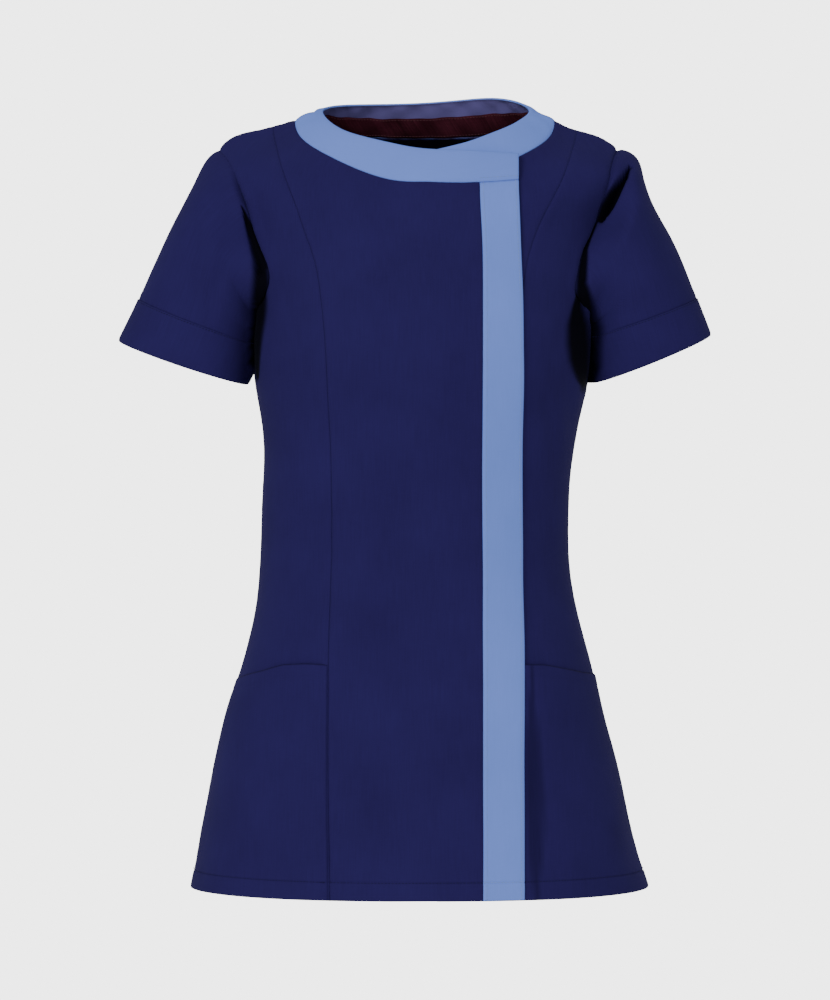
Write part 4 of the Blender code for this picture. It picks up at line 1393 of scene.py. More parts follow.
@dataclass
class Body:
    """The body's panels, its lapping strip and its pockets."""

    wall: float = 0.0012
    strip_wall: float = 0.0020
    pocket_out: float = 0.0017
    pocket_edge_in: float = 0.0014
    mouth_gape: float = 0.0016
    mouth_gape_reach: float = 0.020
    mouth_gape_at: float = 0.80
    mouth_gape_spread: float = 0.22
    mouth_pinch: float = 0.0004
    # Painted shade along the pocket's mouth edge.
    mouth_shade: float = 0.6
    princess_held: float = 0.0055
    side_held: dict[Side, float] = field(default_factory=lambda: {Side.RIGHT: 0.0190, Side.LEFT: 0.0080})
    hem_out: float = 0.0004
    hem_edge: float = 0.001
    hem_pinch: float = 0.00080
    hem_pucker: float = 0.00022
    hem_roll: float = 0.0006
    seams: dict[str, SewnLine] = field(default_factory=dict)
    stitch_lines: dict[str, list[Pair]] = field(default_factory=dict)

    def sewn(self, name: str, places: Array, finish: Finish, seed: float, lift: Lift | None = None) -> None:
        """Note a line of places on the form as sewn."""
        self.seams[name] = SewnLine(Edge(laid(places, [], lift).points), finish, seed)

    def note_seams(self) -> None:
        """Note every seam and edge of the body once, so that both sides of a seam lie alike."""
        neck, strip_neck = lap_neck_places()
        self.sewn("neck_right", joined(back_neck_places(), neck, strip_neck), Finish.SEAM, 0.4, lap_lift)
        self.sewn("neck_left", underlap_neck_places(), Finish.SEAM, 1.9)
        for number, side in enumerate(Side):
            seed = 1.3 + 2.1 * number
            self.sewn(f"side_{side.value}", side_rows(side, FRONT), Finish.SEAM, seed)
            self.sewn(f"princess_{side.value}", joined(*princess(side)), Finish.SEAM, seed + 0.6)
            outer, inner = shoulder_places(side, FRONT)
            self.sewn(f"shoulder_{side.value}", joined(outer, inner), Finish.SEAM, seed + 1.1)
            for face in Face:
                places = joined(*armhole(side, face))
                finish = Finish.DEEP_SEAM if side is Side.LEFT else Finish.SEAM
                self.sewn(f"armhole_{side.value}_{face.value}", places, finish, seed + 1.5)
        steps = UPPER_ROWS - len(neck) + 1
        self.inner_edge = strip_rows(STRIP_INNER_EDGE, steps)
        self.outer_edge = strip_rows(STRIP_OUTER_EDGE, steps)
        self.inner_edge[-1], self.outer_edge[-1] = strip_neck[0], strip_neck[-1]
        self.sewn("strip_inner", self.inner_edge, Finish.SEAM, 2.7, lap_lift)
        self.sewn("strip_outer", self.outer_edge, Finish.FOLD, 0.2, lap_lift)

    def hem_relief(self, cloth: Cloth) -> Array:
        """Return the turned hem: proud below its stitches, pinched at them and rolled in at the foot.

        Args:
            cloth: The cloth as it is so far.

        Returns:
            Heights in metres.
        """
        above = cloth.points[:, 2] - HEM_Z
        ripple = puckers(cloth.weave[:, 0], 0.8)
        edge = smooth_step(HEM_STITCH - self.hem_edge, HEM_STITCH + self.hem_edge, above)
        proud = self.hem_out * (1 - edge)
        pinch = -self.hem_pinch * bell(above - HEM_STITCH, 0.0010)
        gathered = self.hem_pucker * ripple * bell(above - HEM_STITCH, 0.007)
        return proud + pinch + gathered - self.hem_roll * bell(above, 0.0012)

    def dress(self, cloth: Cloth, lines: Names) -> Cloth:
        """Lay the folds, the named sewn lines and the hem over a piece of cloth.

        Args:
            cloth: The cloth as it is so far.
            lines: Names of the sewn lines on it.

        Returns:
            The dressed cloth.
        """
        out = sway(cloth.points) + self.hem_relief(cloth)
        out = out + sum(crease.relief(cloth.points, cloth.normals) for crease in BODY_CREASES)
        for name in lines:
            out = out + self.seams[name].relief(cloth.points)
        # Hollows press the cloth in and give it painted shade.
        pressed, shade = in_hollows(BODY_HOLLOWS, cloth.points, cloth.normals)
        return cloth.moved(out - pressed, shade)

    def panel(self, node: str, blocks: list[Array], lines: Names, finish: Weave,
              lift: Lift | None = None, wall: float | None = None) -> None:
        """Build one panel in place of its node.

        Args:
            node: The node's name.
            blocks: Grids of places that it is made of.
            lines: Names of the sewn lines on it.
            finish: What it is made of.
            lift: How far the cloth lies out, from x.
            wall: How thick it is.
        """
        cloth = self.dress(body_cloth(blocks, lift), lines)
        piece = add_cloth(f"{node}_cloth", node, cloth, finish, wall or self.wall)
        LOG.info("%s: %d points", piece.name, len(cloth.points))

    def line_on(self, places: Array, lines: Names, lift: Lift | None = None, out: float = 0.0) -> Pair:
        """Return the points and directions of a line of places on the dressed cloth."""
        cloth = self.dress(laid(places, [], lift, out), lines)
        return cloth.points, cloth.normals

    def lapping_blocks(self) -> list[Array]:
        """Return the two blocks of the lapping centre front, from the strip to the princess seam."""
        neck, _ = lap_neck_places()
        seam = joined(*princess(Side.RIGHT))
        return centre_blocks(self.inner_edge, seam, neck[::-1], RIGHT_CENTRE_COLUMNS)

    def build_fronts(self) -> None:
        """Build the two centre fronts and the strip."""
        lines = ("neck_right", "princess_right", "shoulder_right", "strip_inner")
        self.panel("front_right_centre", [block[:, ::-1] for block in self.lapping_blocks()], lines, NAVY,
                   lap_lift)
        _, strip_neck = lap_neck_places()
        hem = line(self.inner_edge[0], self.outer_edge[0], STRIP_SHARES)
        strip = fill(self.inner_edge, self.outer_edge, hem, strip_neck)
        self.panel("front_placket", [strip], ("neck_right", "strip_inner", "strip_outer"), SKY,
                   lap_lift, self.strip_wall)
        self.stitch_lines["strip"] = [self.line_on(strip[:, column], ("strip_inner", "strip_outer"), lap_lift)
                                      for column in STRIP_STITCH_COLUMNS]
        neck = underlap_neck_places()
        steps = UPPER_ROWS - len(neck) + 1
        edge = traced(tuple(Place(UNDERLAP_EDGE_X, z) for z in (HEM_Z, UNDERLAP_TOP_Z)))
        seam = Seam(edge + [neck[0]])
        edge = joined(*edge_rows(seam, PRINCESS_CORNER_Z[Side.LEFT], spread(steps)))
        blocks = centre_blocks(edge, joined(*princess(Side.LEFT)), neck, LEFT_CENTRE_COLUMNS)
        lines = ("neck_left", "princess_left", "shoulder_left")
        self.panel("front_left_centre", blocks, lines, NAVY)

    def build_sides(self) -> None:
        """Build the side fronts, the pockets on them and the back."""
        for side in Side:
            name = side.value
            blocks = front_side_blocks(side)
            if side is Side.LEFT:
                blocks = [block[:, ::-1] for block in blocks]
            lines = (f"side_{name}", f"princess_{name}", f"shoulder_{name}", f"armhole_{name}_front")
            self.panel(f"front_{name}_side", blocks, lines, NAVY)
            self.pocket(side, front_side_blocks(side)[0], lines)
        lines = ("neck_right", "side_right", "side_left", "shoulder_right", "shoulder_left",
                 "armhole_right_back", "armhole_left_back")
        self.panel("back", back_blocks(), lines, NAVY)

    def pocket_places(self, side: Side, below: Array) -> Array:
        """Return a pocket's places on a side front's own columns, up to the line of its mouth.

        Formula: each column stops at the row number, with its fraction, where its run passes the
        mouth's run at that column's angle. Rows between the hem and there are shared out evenly
        and read off the panel's rows by straight interpolation.

        Args:
            side: The wearer's side.
            below: The side front's lower block.

        Returns:
            A grid of places.
        """
        mouth = np.array(located(POCKET_MOUTHS[side], FRONT))
        mouth = mouth[np.argsort(mouth[:, 0])]
        below = below[:, 1:-1]
        columns = np.arange(below.shape[1])
        top = np.full(len(columns), POCKET_START_ROW)
        for _ in range(3):
            wanted = np.interp(below[top.astype(int), columns, 0], mouth[:, 0], mouth[:, 1])
            last = (below[:, :, 1] < wanted).sum(axis=0) - 1
            low, high = below[last, columns, 1], below[last + 1, columns, 1]
            top = last + (wanted - low) / (high - low)
        foot = len(HEM_ROWS) - 1
        rest = foot + (top - foot) * spread(POCKET_ROWS, end=0.9)[1:, None]
        rows = np.concatenate((np.repeat(np.arange(foot + 1.0)[:, None], len(columns), axis=1), rest))
        whole = rows.astype(int)
        part = (rows - whole)[..., None]
        return below[whole, columns] * (1 - part) + below[whole + 1, columns] * part

    def pocket(self, side: Side, below: Array, lines: Names) -> None:
        """Build one pocket, sewn in at both seams and gaping a little at its mouth.

        Args:
            side: The wearer's side.
            below: The side front's lower block.
            lines: Names of the sewn lines on it.
        """
        places = self.pocket_places(side, below)
        mouth = Edge(laid(places[-1], [], out=self.pocket_out).points)
        grid = places[:, ::-1] if side is Side.LEFT else places
        cloth = body_cloth([grid], out=self.pocket_out)
        off, run = mouth.measure(cloth.points, 0.060)
        share = run / mouth.runs[-1]
        loose = 0.3 + 0.9 * bell(share - self.mouth_gape_at, self.mouth_gape_spread)
        gape = self.mouth_gape * bell(off, self.mouth_gape_reach) * loose
        held_in = np.zeros(len(cloth.points))
        for name, reach in zip(lines[:2], (self.side_held[side], self.princess_held)):
            beside, _ = self.seams[name].edge.measure(cloth.points, 0.080)
            held_in += bell(beside - self.pocket_out, reach)
        pinch = self.mouth_pinch * bell(off - POCKET_STITCH, 0.0011)
        rolled = edge_relief(Finish.FOLD, off, run, 0.0) - pinch
        held_in = np.minimum(held_in, 1.0)
        cloth = self.dress(cloth, lines)
        # Painted shade along the mouth's folded edge, over the body's painted shade.
        shade = np.maximum(cloth.shade, self.mouth_shade * bell(off, 0.0010))
        cloth = cloth.moved(gape * (1 - held_in) - self.pocket_edge_in * held_in + rolled, shade)
        piece = add_cloth(f"pocket_{side.value}_cloth", f"pocket_{side.value}", cloth, NAVY, self.wall)
        LOG.info("%s: %d points", piece.name, len(cloth.points))

    def hem_line(self, places: Array, lines: Names, lift: Lift | None = None, out: float = 0.0) -> None:
        """Note a row of places at the hem's stitches, to be stitched."""
        self.stitch_lines.setdefault("hem", []).append(self.line_on(places, lines, lift, out))

    def build_hem_stitches(self) -> None:
        """Stitch the turned hem all round, over the pockets at the sides."""
        row = HEM_ROWS.index(HEM_STITCH)
        self.hem_line(self.lapping_blocks()[0][row], ("princess_right", "strip_inner"), lap_lift)
        strip = line(self.inner_edge[row], self.outer_edge[row], STRIP_SHARES)
        self.stitch_lines["strip"].append(self.line_on(strip, ("strip_inner", "strip_outer"), lap_lift))
        left_seam = joined(*princess(Side.LEFT))
        start = np.array([self.outer_edge[row, 0] + 0.3, left_seam[row, 1]])
        if start[0] < left_seam[row, 0]:
            self.hem_line(line(start, left_seam[row], spread(20)), ("princess_left",))
        for side in Side:
            below = front_side_blocks(side)[0][row, 2:-2]
            self.hem_line(below, (f"side_{side.value}", f"princess_{side.value}"), out=self.pocket_out)
        self.hem_line(back_blocks()[0][row], ("side_right", "side_left"))

    def build(self) -> None:
        """Build the whole body."""
        self.note_seams()
        self.build_fronts()
        self.build_sides()
        self.build_hem_stitches()
        add_stitches("hem_stitches", self.stitch_lines["hem"], NAVY_THREAD)
        add_stitches("strip_stitches", self.stitch_lines["strip"], SKY_THREAD)


@dataclass(frozen=True)
class SleeveRing:
    """A ring of a sleeve: its outer and inner ends from the front, its depths, and its front's drop."""

    outer_x: float
    outer_z: float
    inner_x: float
    inner_z: float
    front: float
    back: float
    drop: float

    def row(self) -> tuple[float, ...]:
        """Return the ring's numbers, as a row of the sleeve's table."""
        return astuple(self)


SLEEVE_RINGS = {
    Side.RIGHT: tuple(SleeveRing(*row) for row in (
        (-0.1868, -0.0277, -0.1572, -0.1680, 0.0540, 0.0460, 0.000),
        (-0.1945, -0.0325, -0.1545, -0.1735, 0.0570, 0.0480, 0.000),
        (-0.2072, -0.0518, -0.1515, -0.1820, 0.0590, 0.0500, 0.001),
        (-0.2330, -0.1045, -0.1510, -0.1965, 0.0580, 0.0510, 0.003),
        (-0.2605, -0.1660, -0.1535, -0.2065, 0.0545, 0.0505, 0.005),
        (-0.2794, -0.2035, -0.1590, -0.2440, 0.0510, 0.0495, 0.006),
    )),
    Side.LEFT: tuple(SleeveRing(*row) for row in (
        (0.1813, -0.0250, 0.1600, -0.1760, 0.0550, 0.0470, 0.000),
        (0.1975, -0.0300, 0.1570, -0.1810, 0.0580, 0.0490, 0.000),
        (0.2060, -0.0540, 0.1540, -0.1870, 0.0590, 0.0500, 0.001),
        (0.2293, -0.1045, 0.1530, -0.1950, 0.0580, 0.0510, 0.003),
        (0.2550, -0.1650, 0.1540, -0.2010, 0.0545, 0.0505, 0.005),
        (0.2683, -0.1980, 0.1575, -0.2425, 0.0510, 0.0495, 0.006),
    )),
}
SLEEVE_POWER = 2.2
SLEEVE_FADE = 0.055
SLEEVE_CLEAR = 0.0030
SLEEVE_TOUCH = 0.0022
SLEEVE_PARTS_Z = {Side.RIGHT: -0.2270, Side.LEFT: -0.2390}
SLEEVE_CLEAR_FROM = 0.018
SLEEVE_SOFT = 0.0030
UNDERARM_FADE = 0.010
SLEEVE_PART_FADE = 0.020
SLEEVE_CLOSES = (0.004, 0.009)
CUFF_RING = 4


def against_body(points: Array, side: Side) -> Array:
    """Lay the inner side of a sleeve against the body below the underarm, and clear of it below.

    Formula: the body's wall at the point's height and depth is the half width times
    (1 - depth share^p)^(1/p). The room beyond it is softly held above nought by half of the
    room plus the root of its square and a small square, and where it is small it is closed
    down to the height at which the sleeve parts from the body.

    Args:
        points: Points of the sleeve.
        side: The wearer's side.

    Returns:
        The points, moved sideways.
    """
    underarm_z, parting_z = UNDERARM_Z[side], SLEEVE_PARTS_Z[side]
    row = FORM.rows(FORM.run_at_height(points[..., 2]))
    half = np.where(points[..., 0] < 0, row[..., 1], row[..., 2])
    depth = np.where(points[..., 1] < 0, row[..., 4], row[..., 6])
    deep = np.minimum(np.abs(points[..., 1]) / depth, 1.0)
    wall = half * (1 - deep**row[..., 7])**(1 / row[..., 7])
    closed = smooth_step(parting_z - SLEEVE_PART_FADE, parting_z, points[..., 2])
    clear = SLEEVE_CLEAR * (1 - closed) - SLEEVE_TOUCH * closed
    room = np.abs(points[..., 0]) - wall - clear
    held = (room + np.hypot(room, SLEEVE_SOFT)) / 2
    held = held - held * closed * (1 - smooth_step(*SLEEVE_CLOSES, room))
    share = 1 - smooth_step(underarm_z - UNDERARM_FADE, underarm_z + UNDERARM_FADE, points[..., 2])
    moved = points.copy()
    moved[..., 0] = np.sign(points[..., 0]) * (np.abs(points[..., 0]) + (held - room) * share)
    return moved


@dataclass
class Sleeve:
    """A set-in sleeve and its band, as a surface over run down its outer line and turn round it."""

    side: Side
    wall: float = 0.0012
    band_wall: float = 0.0018
    band_out: float = 0.0009
    band_over: float = 0.0006
    band_stitch_row: int = 2
    rows: int = 64
    band_rows: int = 22
    tuck_in: float = 0.0012
    allowance: float = 0.0050
    seam_gap: float = 0.0002
    head_puff: float = 0.0016
    head_fade: tuple[float, float] = (0.004, 0.022)
    press_fade: tuple[float, float] = (0.001, 0.008)
    still_inside: tuple[float, float] = (0.35, 0.75)
    still_below: float = 0.012

    def __post_init__(self) -> None:
        """Work out the rings and the armhole that the sleeve starts from."""
        rings = SLEEVE_RINGS[self.side]
        self.runs = chords([(ring.outer_x, ring.outer_z) for ring in rings])
        self.table = Spline(self.runs, [ring.row() for ring in rings])
        self.start, self.away, self.turns = self.armhole_loop()
        self.hole = Edge(np.concatenate((self.start, self.start[:1])))

    def armhole_loop(self) -> tuple[Array, Array, Array]:
        """Return the armhole's points, outward directions and turns: shoulder, front, underarm, back.

        Returns:
            The points, the directions and the turns in degrees.
        """
        front = joined(*armhole(self.side, FRONT))[::-1]
        back = joined(*armhole(self.side, BACK))
        places = np.concatenate((front, back[1:-1]))
        points = FORM.surface(places)
        down = chords(points[:len(front)])
        up = chords(np.concatenate((points[len(front) - 1:], points[:1])))
        turns = np.concatenate((180 * down / down[-1], 180 + 180 * up[1:-1] / up[-1]))
        return points, FORM.normals(places), turns

    def ring(self, run: Array, wider: float = 0.0) -> Array:
        """Return rings of points by run and turn, before the armhole draws them in.

        Formula: a ring of power p reaches (|cos t|^p + |sin t|^p)^(-1/p) along turn t, from the
        middle of its outer and inner ends, half their distance along the line between them and
        its depth across it; the front hangs lower by the drop.

        Args:
            run: Runs down the sleeve.
            wider: How far out they are held.

        Returns:
            Points by ring and turn.
        """
        numbers = np.moveaxis(self.table(run)[:, None], -1, 0)
        outer_x, outer_z, inner_x, inner_z, front, back, drop = numbers
        turn = np.radians(self.turns)[None]
        across, along = np.cos(turn), np.sin(turn)
        reach = (np.abs(across)**SLEEVE_POWER + np.abs(along)**SLEEVE_POWER)**(-1 / SLEEVE_POWER)
        length = np.hypot(outer_x - inner_x, outer_z - inner_z) / 2
        size = reach * (1 + wider / length)
        x = (outer_x + inner_x) / 2 + (outer_x - inner_x) / 2 * size * across
        z = (outer_z + inner_z) / 2 + (outer_z - inner_z) / 2 * size * across - drop * along
        y = -np.where(along > 0, front + wider, back + wider) * reach * along
        return np.stack((x, y, z), axis=-1)

    def points(self, runs: Array, wider: float = 0.0) -> Array:
        """Return the rings at several runs, drawn in to the armhole at the top and clear of the body.

        Args:
            runs: Runs down the sleeve.
            wider: How far out they are.

        Returns:
            Points by ring and turn.
        """
        from_tip = np.linalg.norm(self.start - self.start[0], axis=-1)
        share = 0.15 + 0.85 * smooth_step(0.0, 0.035, from_tip)
        if self.side is Side.LEFT:
            share = np.ones(len(from_tip))
        sunk = self.start - self.away * (self.tuck_in * share)[:, None]
        pull = (sunk - self.ring(np.zeros(1))[0])[None]
        rings = self.ring(runs, wider) + pull * (1 - smooth_step(0.0, SLEEVE_FADE, runs))[:, None, None]
        clear = against_body(rings, self.side)
        return rings + (clear - rings) * smooth_step(0.0, SLEEVE_CLEAR_FROM, runs)[:, None, None]

    def turned_in(self, points: Array) -> Array:
        """Return the sleeve's rows with a row of seam allowance first, turned in at the armhole."""
        back = unit(points[1] - points[0])
        return np.concatenate(((points[0] - back * self.allowance - self.away * self.tuck_in)[None], points))

    def relief(self, cloth: Cloth, seams: list[Edge]) -> Pair:
        """Return the folds of the sleeve's cloth.

        Formula: the slow unevenness, the creases, a trough on each seam, and the head puffed a
        little beyond the armhole, less the hollows. The second answer is the painted shade of
        the hollows.

        Args:
            cloth: The cloth as it is so far.
            seams: The seams that it has.

        Returns:
            Heights in metres, and painted shade from 0 to 1.
        """
        inner = smooth_step(*self.still_inside, -np.cos(np.radians(self.turns)))
        inner = np.tile(inner, len(cloth.points) // len(self.turns))
        underarm_z, fade = UNDERARM_Z[self.side], self.still_below
        below = 1 - smooth_step(underarm_z - fade, underarm_z + fade, cloth.points[:, 2])
        free = 1 - inner * below
        out = sum(crease.relief(cloth.points, cloth.normals) for crease in SLEEVE_CREASES)
        out = 0.8 * sway(cloth.points) + out
        for number, seam in enumerate(seams):
            off, run = seam.measure(cloth.points, 0.030)
            out = out + edge_relief(Finish.SEAM, off, run, 1.7 * number + 0.3)
        off, _ = self.hole.measure(cloth.points, 0.060)
        puffed = self.head_puff * smooth_step(0.0, self.head_fade[0], off)
        out = out + puffed * (1 - smooth_step(*self.head_fade, off))
        pressed, shade = in_hollows(SLEEVE_HOLLOWS, cloth.points, cloth.normals)
        return (out - pressed * smooth_step(*self.press_fade, off)) * free, shade

    def build_sleeve(self) -> None:
        """Build the sleeve down to its band, with its seam allowance tucked in at the armhole."""
        name = self.side.value
        runs = spread(self.rows, 0.75, 0.8) * (self.runs[CUFF_RING] - self.seam_gap)
        points = self.turned_in(self.points(runs))
        around = len(self.turns)
        cloth = grid_cloth(points, closed=True, flip=self.side is Side.RIGHT)
        out, shade = self.relief(cloth, [Edge(points[:, around // 2]), Edge(points[-1])])
        out[:around] = out[around:2 * around]
        cloth = cloth.moved(out, shade)
        piece = add_cloth(f"sleeve_{name}_cloth", f"sleeve_{name}", cloth, NAVY, self.wall)
        LOG.info("%s: %d points", piece.name, len(cloth.points))

    def build_band(self) -> None:
        """Build the band at the sleeve's hem and its row of stitches."""
        name, around = self.side.value, len(self.turns)
        seam, hem = self.runs[CUFF_RING], self.runs[-1]
        runs = seam - self.band_over + spread(self.band_rows, 0.8, 0.8) * (hem - seam + self.band_over)
        points = self.points(runs, self.band_out)
        cloth = grid_cloth(points, closed=True, flip=self.side is Side.RIGHT)
        upper, run = Edge(points[0]).measure(cloth.points, 0.030)
        lower, _ = Edge(points[-1]).measure(cloth.points, 0.030)
        rolled = -0.0007 * bell(upper, 0.0014) - 0.0008 * bell(lower, 0.0014)
        stitched = 0.00020 * puckers(run, 0.9) * bell(upper - 0.003, 0.006)
        out, shade = self.relief(cloth, [Edge(points[:, around // 2])])
        cloth = cloth.moved(out + rolled + stitched, shade)
        band = add_cloth(f"cuff_{name}_cloth", f"cuff_{name}", cloth, NAVY, self.band_wall)
        rows = (part[self.band_stitch_row] for part in cloth.grids(points.shape))
        line_round = tuple(np.concatenate((row, row[:1])) for row in rows)
        add_stitches(f"cuff_{name}_stitches", [line_round], NAVY_THREAD)
        LOG.info("%s: %d points", band.name, len(cloth.points))

    def build(self) -> None:
        """Build the sleeve and its band."""
        self.build_sleeve()
        self.build_band()


@dataclass(frozen=True)
class CollarEdge:
    """A place on the inner edge of the collar, by collar angle."""

    angle: float
    x: float
    y: float
    z: float


COLLAR_TOP = tuple(CollarEdge(*row) for row in (
    (-354, 0.0120, -0.0625, -0.0325), (-340, 0.0372, -0.0590, -0.0262),
    (-320, 0.0601, -0.0490, -0.0175), (-300, 0.0816, -0.0330, -0.0076),
    (-285, 0.0930, -0.0170, 0.0005), (-270, 0.0999, -0.0010, 0.0085),
    (-257, 0.0985, 0.0120, 0.0155), (-243, 0.0885, 0.0275, 0.0215),
    (-225, 0.0675, 0.0450, 0.0258), (-205, 0.0370, 0.0580, 0.0252),
    (-180, -0.0027, 0.0620, 0.0227), (-142, -0.0570, 0.0480, 0.0202),
    (-115, -0.0826, 0.0260, 0.0170), (-90, -0.0911, 0.0010, 0.0098),
    (-70, -0.0856, -0.0235, -0.0013), (-50, -0.0698, -0.0437, -0.0132),
    (-30, -0.0456, -0.0580, -0.0218), (-15, -0.0236, -0.0645, -0.0274),
    (0, 0.0000, -0.0676, -0.0316), (10, 0.0200, -0.0692, -0.0329),
    (23, 0.0535, -0.0692, -0.0341), (33.35, 0.0888, -0.0610, -0.0356),
))


@dataclass
class Collar:
    """The band round the neck, lapped over at the front, and the tape inside the back of it."""

    body: Body
    wall: float = 0.0020
    rows: int = 16
    swell: float = 0.0012
    tape_wall: float = 0.0010
    tape_shares: tuple[float, float] = (0.06, 0.58)
    tape_short: float = 10.0
    tape_clear: float = 0.0006
    tape_stitch_rows: tuple[int, int] = (1, -2)
    stitch_row: int = 3
    wrinkle: float = 0.00085
    wrinkled_from: tuple[float, float] = (-0.030, 0.015)
    # Strength of the painted shadow under the lapped end's upper edge.
    lap_shade: float = 0.75
    lap_from: float = -25.0
    under_lap_to: float = -318.0

    def edges(self) -> tuple[Array, Array, Array]:
        """Return the collar's angles, its seam edge and its inner edge, from its end beneath.

        Returns:
            The angles, the points of the seam edge and those of the inner edge.
        """
        neck, strip_neck = lap_neck_places()
        places = joined(underlap_neck_places() - [360.0, 0.0], back_neck_places(), neck, strip_neck)
        seam = FORM.surface(places)
        lapped = np.where(places[:, 0] > -90, lap_lift(seam[:, 0]), 0.0)
        seam = seam + FORM.normals(places) * lapped[:, None]
        table = Spline([row.angle for row in COLLAR_TOP], [(row.x, row.y, row.z) for row in COLLAR_TOP])
        return places[:, 0], seam, table(places[:, 0])

    def band(self, shares: Array, inward: float = 0.0) -> Array:
        """Return the points of the band at shares of its width.

        Formula: straight from the seam edge to the inner edge, swollen out by four times the
        swell times s(1-s), and moved inward across the band.

        Args:
            shares: Shares of its width.
            inward: How far inside it.

        Returns:
            Points by share and angle.
        """
        _, low, high = self.edges()
        shares = np.asarray(shares)[:, None, None]
        away = unit(np.cross(np.gradient(low, axis=0), high - low))[None]
        out = self.swell * 4 * shares * (1 - shares) - inward
        return low[None] + (high - low)[None] * shares + away * out

    def sewn_edge(self) -> Array:
        """Return the dressed body's neck line, which the collar's lower edge is sewn to.

        Returns:
            The line's points.
        """
        neck, strip_neck = lap_neck_places()
        parts = (
            (underlap_neck_places(), ("neck_left", "shoulder_left"), None),
            (back_neck_places(), ("neck_right", "shoulder_left", "shoulder_right"), None),
            (neck, ("neck_right", "shoulder_right", "strip_inner"), lap_lift),
            (strip_neck, ("neck_right", "strip_inner", "strip_outer"), lap_lift),
        )
        return joined(*(self.body.line_on(places, lines, lift)[0] for places, lines, lift in parts))

    def build(self) -> None:
        """Build the collar, the tape and their stitches."""
        points = self.band(spread(self.rows, 0.75, 0.85))
        cloth = grid_cloth(points)
        lower, run = Edge(points[0]).measure(cloth.points, 0.030)
        upper, _ = Edge(points[-1]).measure(cloth.points, 0.030)
        end, _ = Edge(points[:, -1]).measure(cloth.points, 0.030)
        out = edge_relief(Finish.SEAM, lower, run, 0.4)
        out = out - 0.0009 * bell(upper, 0.0013) - 0.0006 * bell(end, 0.0010) + 0.5 * sway(cloth.points)
        out = out + 0.00018 * puckers(run * 0.35, 1.2) * bell(upper - 0.016, 0.012)
        # The painted shadow under the lapped end goes in as the collar's painted shade.
        cloth = cloth.moved(out + self.wrinkles(cloth.points), self.under_lap(cloth, points))
        grid = cloth.points.reshape(points.shape)
        held = (1 - smooth_step(0.0, 0.0030, lower)).reshape(points.shape[:2])[..., None]
        cloth.points = (grid + (self.sewn_edge() - grid[0])[None] * held).reshape(-1, 3)
        piece = add_cloth("collar_cloth", "collar", cloth, SKY, self.wall)
        grid = cloth.grids(points.shape)
        ends = slice(-STRIP_COLUMNS - 1, None)
        add_stitches("collar_stitches", [tuple(part[self.stitch_row, ends] for part in grid)], SKY_THREAD)
        self.build_tape()
        LOG.info("%s built", piece.name)

    def wrinkles(self, points: Array) -> Array:
        """Return the slanted wrinkles of the band's back half, which the light shows inside it.

        Formula: two waves of the run with the distance from the inner edge, on the back half,
        dying away toward the inner edge.

        Args:
            points: Points in metres.

        Returns:
            Heights in metres.
        """
        _, low, high = self.edges()
        _, run = Edge(low).measure(points, 0.060)
        upper, _ = Edge(high).measure(points, 0.060)
        slanted = np.sin(250 * run + 160 * upper) + 0.8 * np.sin(141 * run - 210 * upper + 1.1)
        behind = smooth_step(*self.wrinkled_from, points[:, 1])
        return self.wrinkle * behind * slanted * smooth_step(0.0, 0.008, upper)

    def under_lap(self, cloth: Cloth, points: Array) -> Array:
        """Return the painted shadow on the band where its lapped end's upper edge lies over it.

        Args:
            cloth: The cloth as it is so far.
            points: The band's grid of points.

        Returns:
            Painted shadow from 0 to 1.
        """
        angles, _, _ = self.edges()
        over = cloth.points.reshape(points.shape)[-1, angles > self.lap_from]
        off, _ = Edge(over).measure(cloth.points, 0.030)
        beneath = np.tile(angles < self.under_lap_to, len(points))
        return self.lap_shade * bell(off - 0.0010, 0.0030) * beneath

    def build_tape(self) -> None:
        """Build the tape, a strip within the collar, blotchy and stitched along each edge, with painted shade
        toward its lower edge.
        """
        angles, _, _ = self.edges()
        within = (angles > -270 + self.tape_short) & (angles < -90 - self.tape_short)
        low, high = self.tape_shares
        shares = low + (high - low) * spread(8, 0.5, 0.5)
        points = self.band(shares, self.wall + self.tape_clear)[:, within]
        cloth = grid_cloth(points)
        _, run = Edge(points[0]).measure(cloth.points)
        row = np.repeat(np.linspace(0.0, 1.0, len(points)), points.shape[1])
        blotches = 0.5 + 0.25 * np.sin(95 * run + 3 * row) + 0.25 * np.sin(211 * run - 4 * row + 0.8)
        # Painted shade toward the lower edge, where the tape runs into the dark inside of the back, plus
        # blotches; both go in the hollow attribute.
        dark = 0.45 * (1 - row)**2 + 0.40 * blotches
        cloth = cloth.moved(0.00015 * puckers(run, 2.2) + self.wrinkles(cloth.points), dark)
        piece = add_cloth("neck_tape_cloth", "neck_tape", cloth, MAROON, self.tape_wall)
        outer, away = cloth.grids(points.shape)
        inner = outer - away * self.tape_wall
        lines = [(inner[row], -away[row]) for row in self.tape_stitch_rows]
        add_stitches("neck_tape_stitches", lines, MAROON_THREAD)


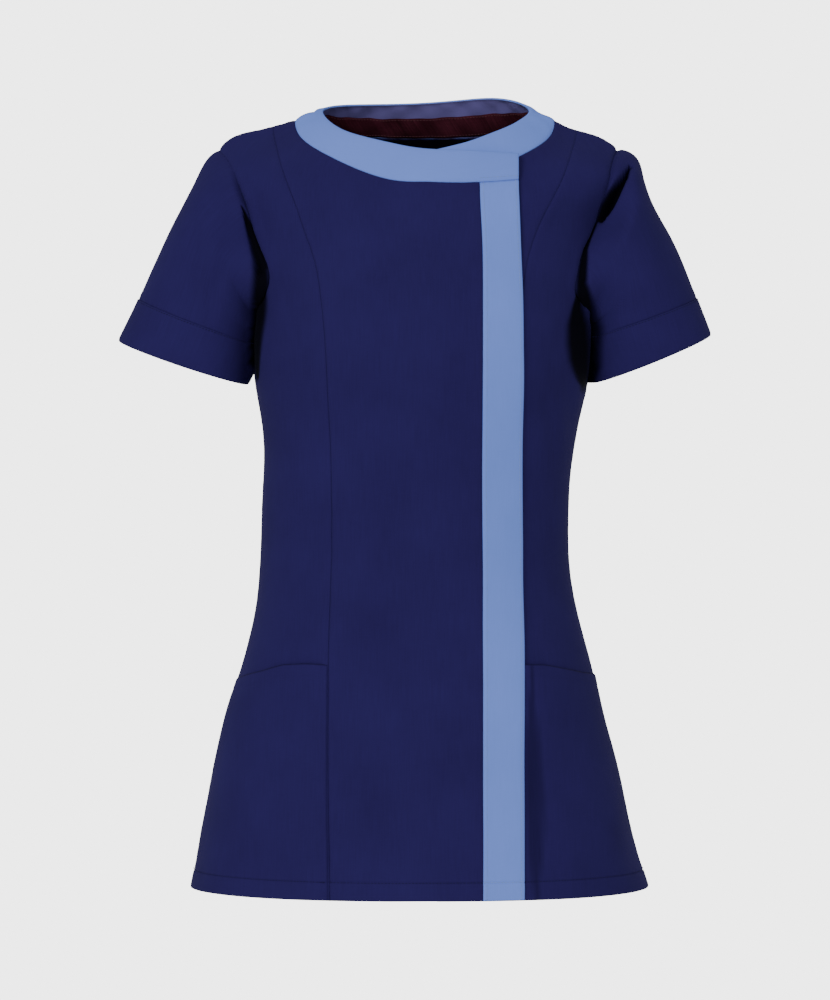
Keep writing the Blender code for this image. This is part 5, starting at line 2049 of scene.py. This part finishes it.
@dataclass(frozen=True)
class Studio:
    """The camera, a white surround with soft lamps, and a pale floor out of view below."""

    camera_at: Triple = (-0.0055, -3.5, -0.3515)
    lens: float = 136.2
    surround: float = 0.62
    middle: Triple = (0.0, 0.0, -0.35)
    floor_z: float = -1.35
    floor_radius: float = 2.6
    floor_corners: int = 64
    screen_y: float = 7.0
    screen_half: float = 3.0
    screen_glow: float = 4.0

    def lamp(self, name: str, place: Triple, size: float, power: float) -> None:
        """Add a soft square lamp that faces the middle of the body.

        Args:
            name: The lamp's name.
            place: Where it stands.
            size: The length of its side.
            power: Its power in watts.
        """
        light = bpy.data.lights.new(name, "AREA")
        light.size = size
        light.energy = power
        made = bpy.data.objects.new(name, light)
        made.location = place
        made.rotation_euler = (Vector(self.middle) - Vector(place)).to_track_quat("-Z", "Y").to_euler()
        bpy.context.scene.collection.objects.link(made)

    def build(self) -> None:
        """Set up the camera, the light and the floor."""
        camera = bpy.data.cameras.new("camera")
        camera.lens = self.lens
        camera.sensor_fit = "AUTO"
        camera.clip_end = 50.0
        made = bpy.data.objects.new("camera", camera)
        made.location = self.camera_at
        made.rotation_euler = (np.pi / 2, 0.0, 0.0)
        bpy.context.scene.collection.objects.link(made)
        bpy.context.scene.camera = made
        world = bpy.data.worlds.new("surround")
        world.use_nodes = True
        world.node_tree.nodes["Background"].inputs["Color"].default_value = (1.0, 1.0, 1.0, 1.0)
        world.node_tree.nodes["Background"].inputs["Strength"].default_value = self.surround
        bpy.context.scene.world = world
        self.lamp("key", (-2.0, -3.0, 1.2), 1.5, 75.0)
        self.lamp("fill", (2.4, -2.4, 0.3), 1.8, 18.0)
        self.floor()
        self.screen()

    def disc(self, name: str, points: Array, shader: Shader) -> bpy.types.Object:
        """Make a flat piece of the studio from the points round its edge.

        Args:
            name: The piece's name.
            points: The points of its edge.
            shader: What it is made of.

        Returns:
            The object.
        """
        mesh = bpy.data.meshes.new(name)
        mesh.from_pydata(points.tolist(), [], [tuple(range(len(points)))])
        mesh.materials.append(shader.material)
        made = bpy.data.objects.new(name, mesh)
        bpy.context.scene.collection.objects.link(made)
        return made

    def floor(self) -> None:
        """Lay a round floor well below the hem, a flat fan of points at one radius."""
        turn = np.linspace(0.0, 2 * np.pi, self.floor_corners + 1)[:-1]
        ring = np.column_stack((self.floor_radius * np.cos(turn), self.floor_radius * np.sin(turn),
                                np.full(self.floor_corners, self.floor_z)))
        shader = Shader("floor_paint")
        place = shader.node("ShaderNodeTexCoord", {}, {}, "Object")
        dark, light = (0.78, 0.78, 0.78), (0.82, 0.82, 0.82)
        shader.feed("Base Color", shader.tint(shader.noise(place, 3.0, 2.0), dark, light))
        shader.feed("Roughness", 0.9)
        self.disc("floor", ring, shader)

    def screen(self) -> None:
        """Stand a bright white screen far behind, which lights nothing."""
        corners = np.array([(-1.0, -1.0), (1.0, -1.0), (1.0, 1.0), (-1.0, 1.0)]) * self.screen_half
        points = np.column_stack((corners[:, 0], np.full(4, self.screen_y), corners[:, 1] + self.middle[2]))
        shader = Shader("white_screen")
        shader.feed("Base Color", (0.0, 0.0, 0.0, 1.0))
        shader.feed("Specular IOR Level", 0.0)
        shader.feed("Emission Color", (1.0, 1.0, 1.0, 1.0))
        shader.feed("Emission Strength", self.screen_glow)
        made = self.disc("screen", points, shader)
        made.visible_diffuse = False
        made.visible_glossy = False


def main() -> None:
    """Build the tunic and its surroundings."""
    logging.basicConfig(level=logging.INFO, format="%(message)s")
    body = Body()
    body.build()
    Sleeve(Side.RIGHT, head_puff=0.0005).build()
    Sleeve(Side.LEFT).build()
    Collar(body).build()
    Studio().build()


if __name__ == "__main__":
    main()
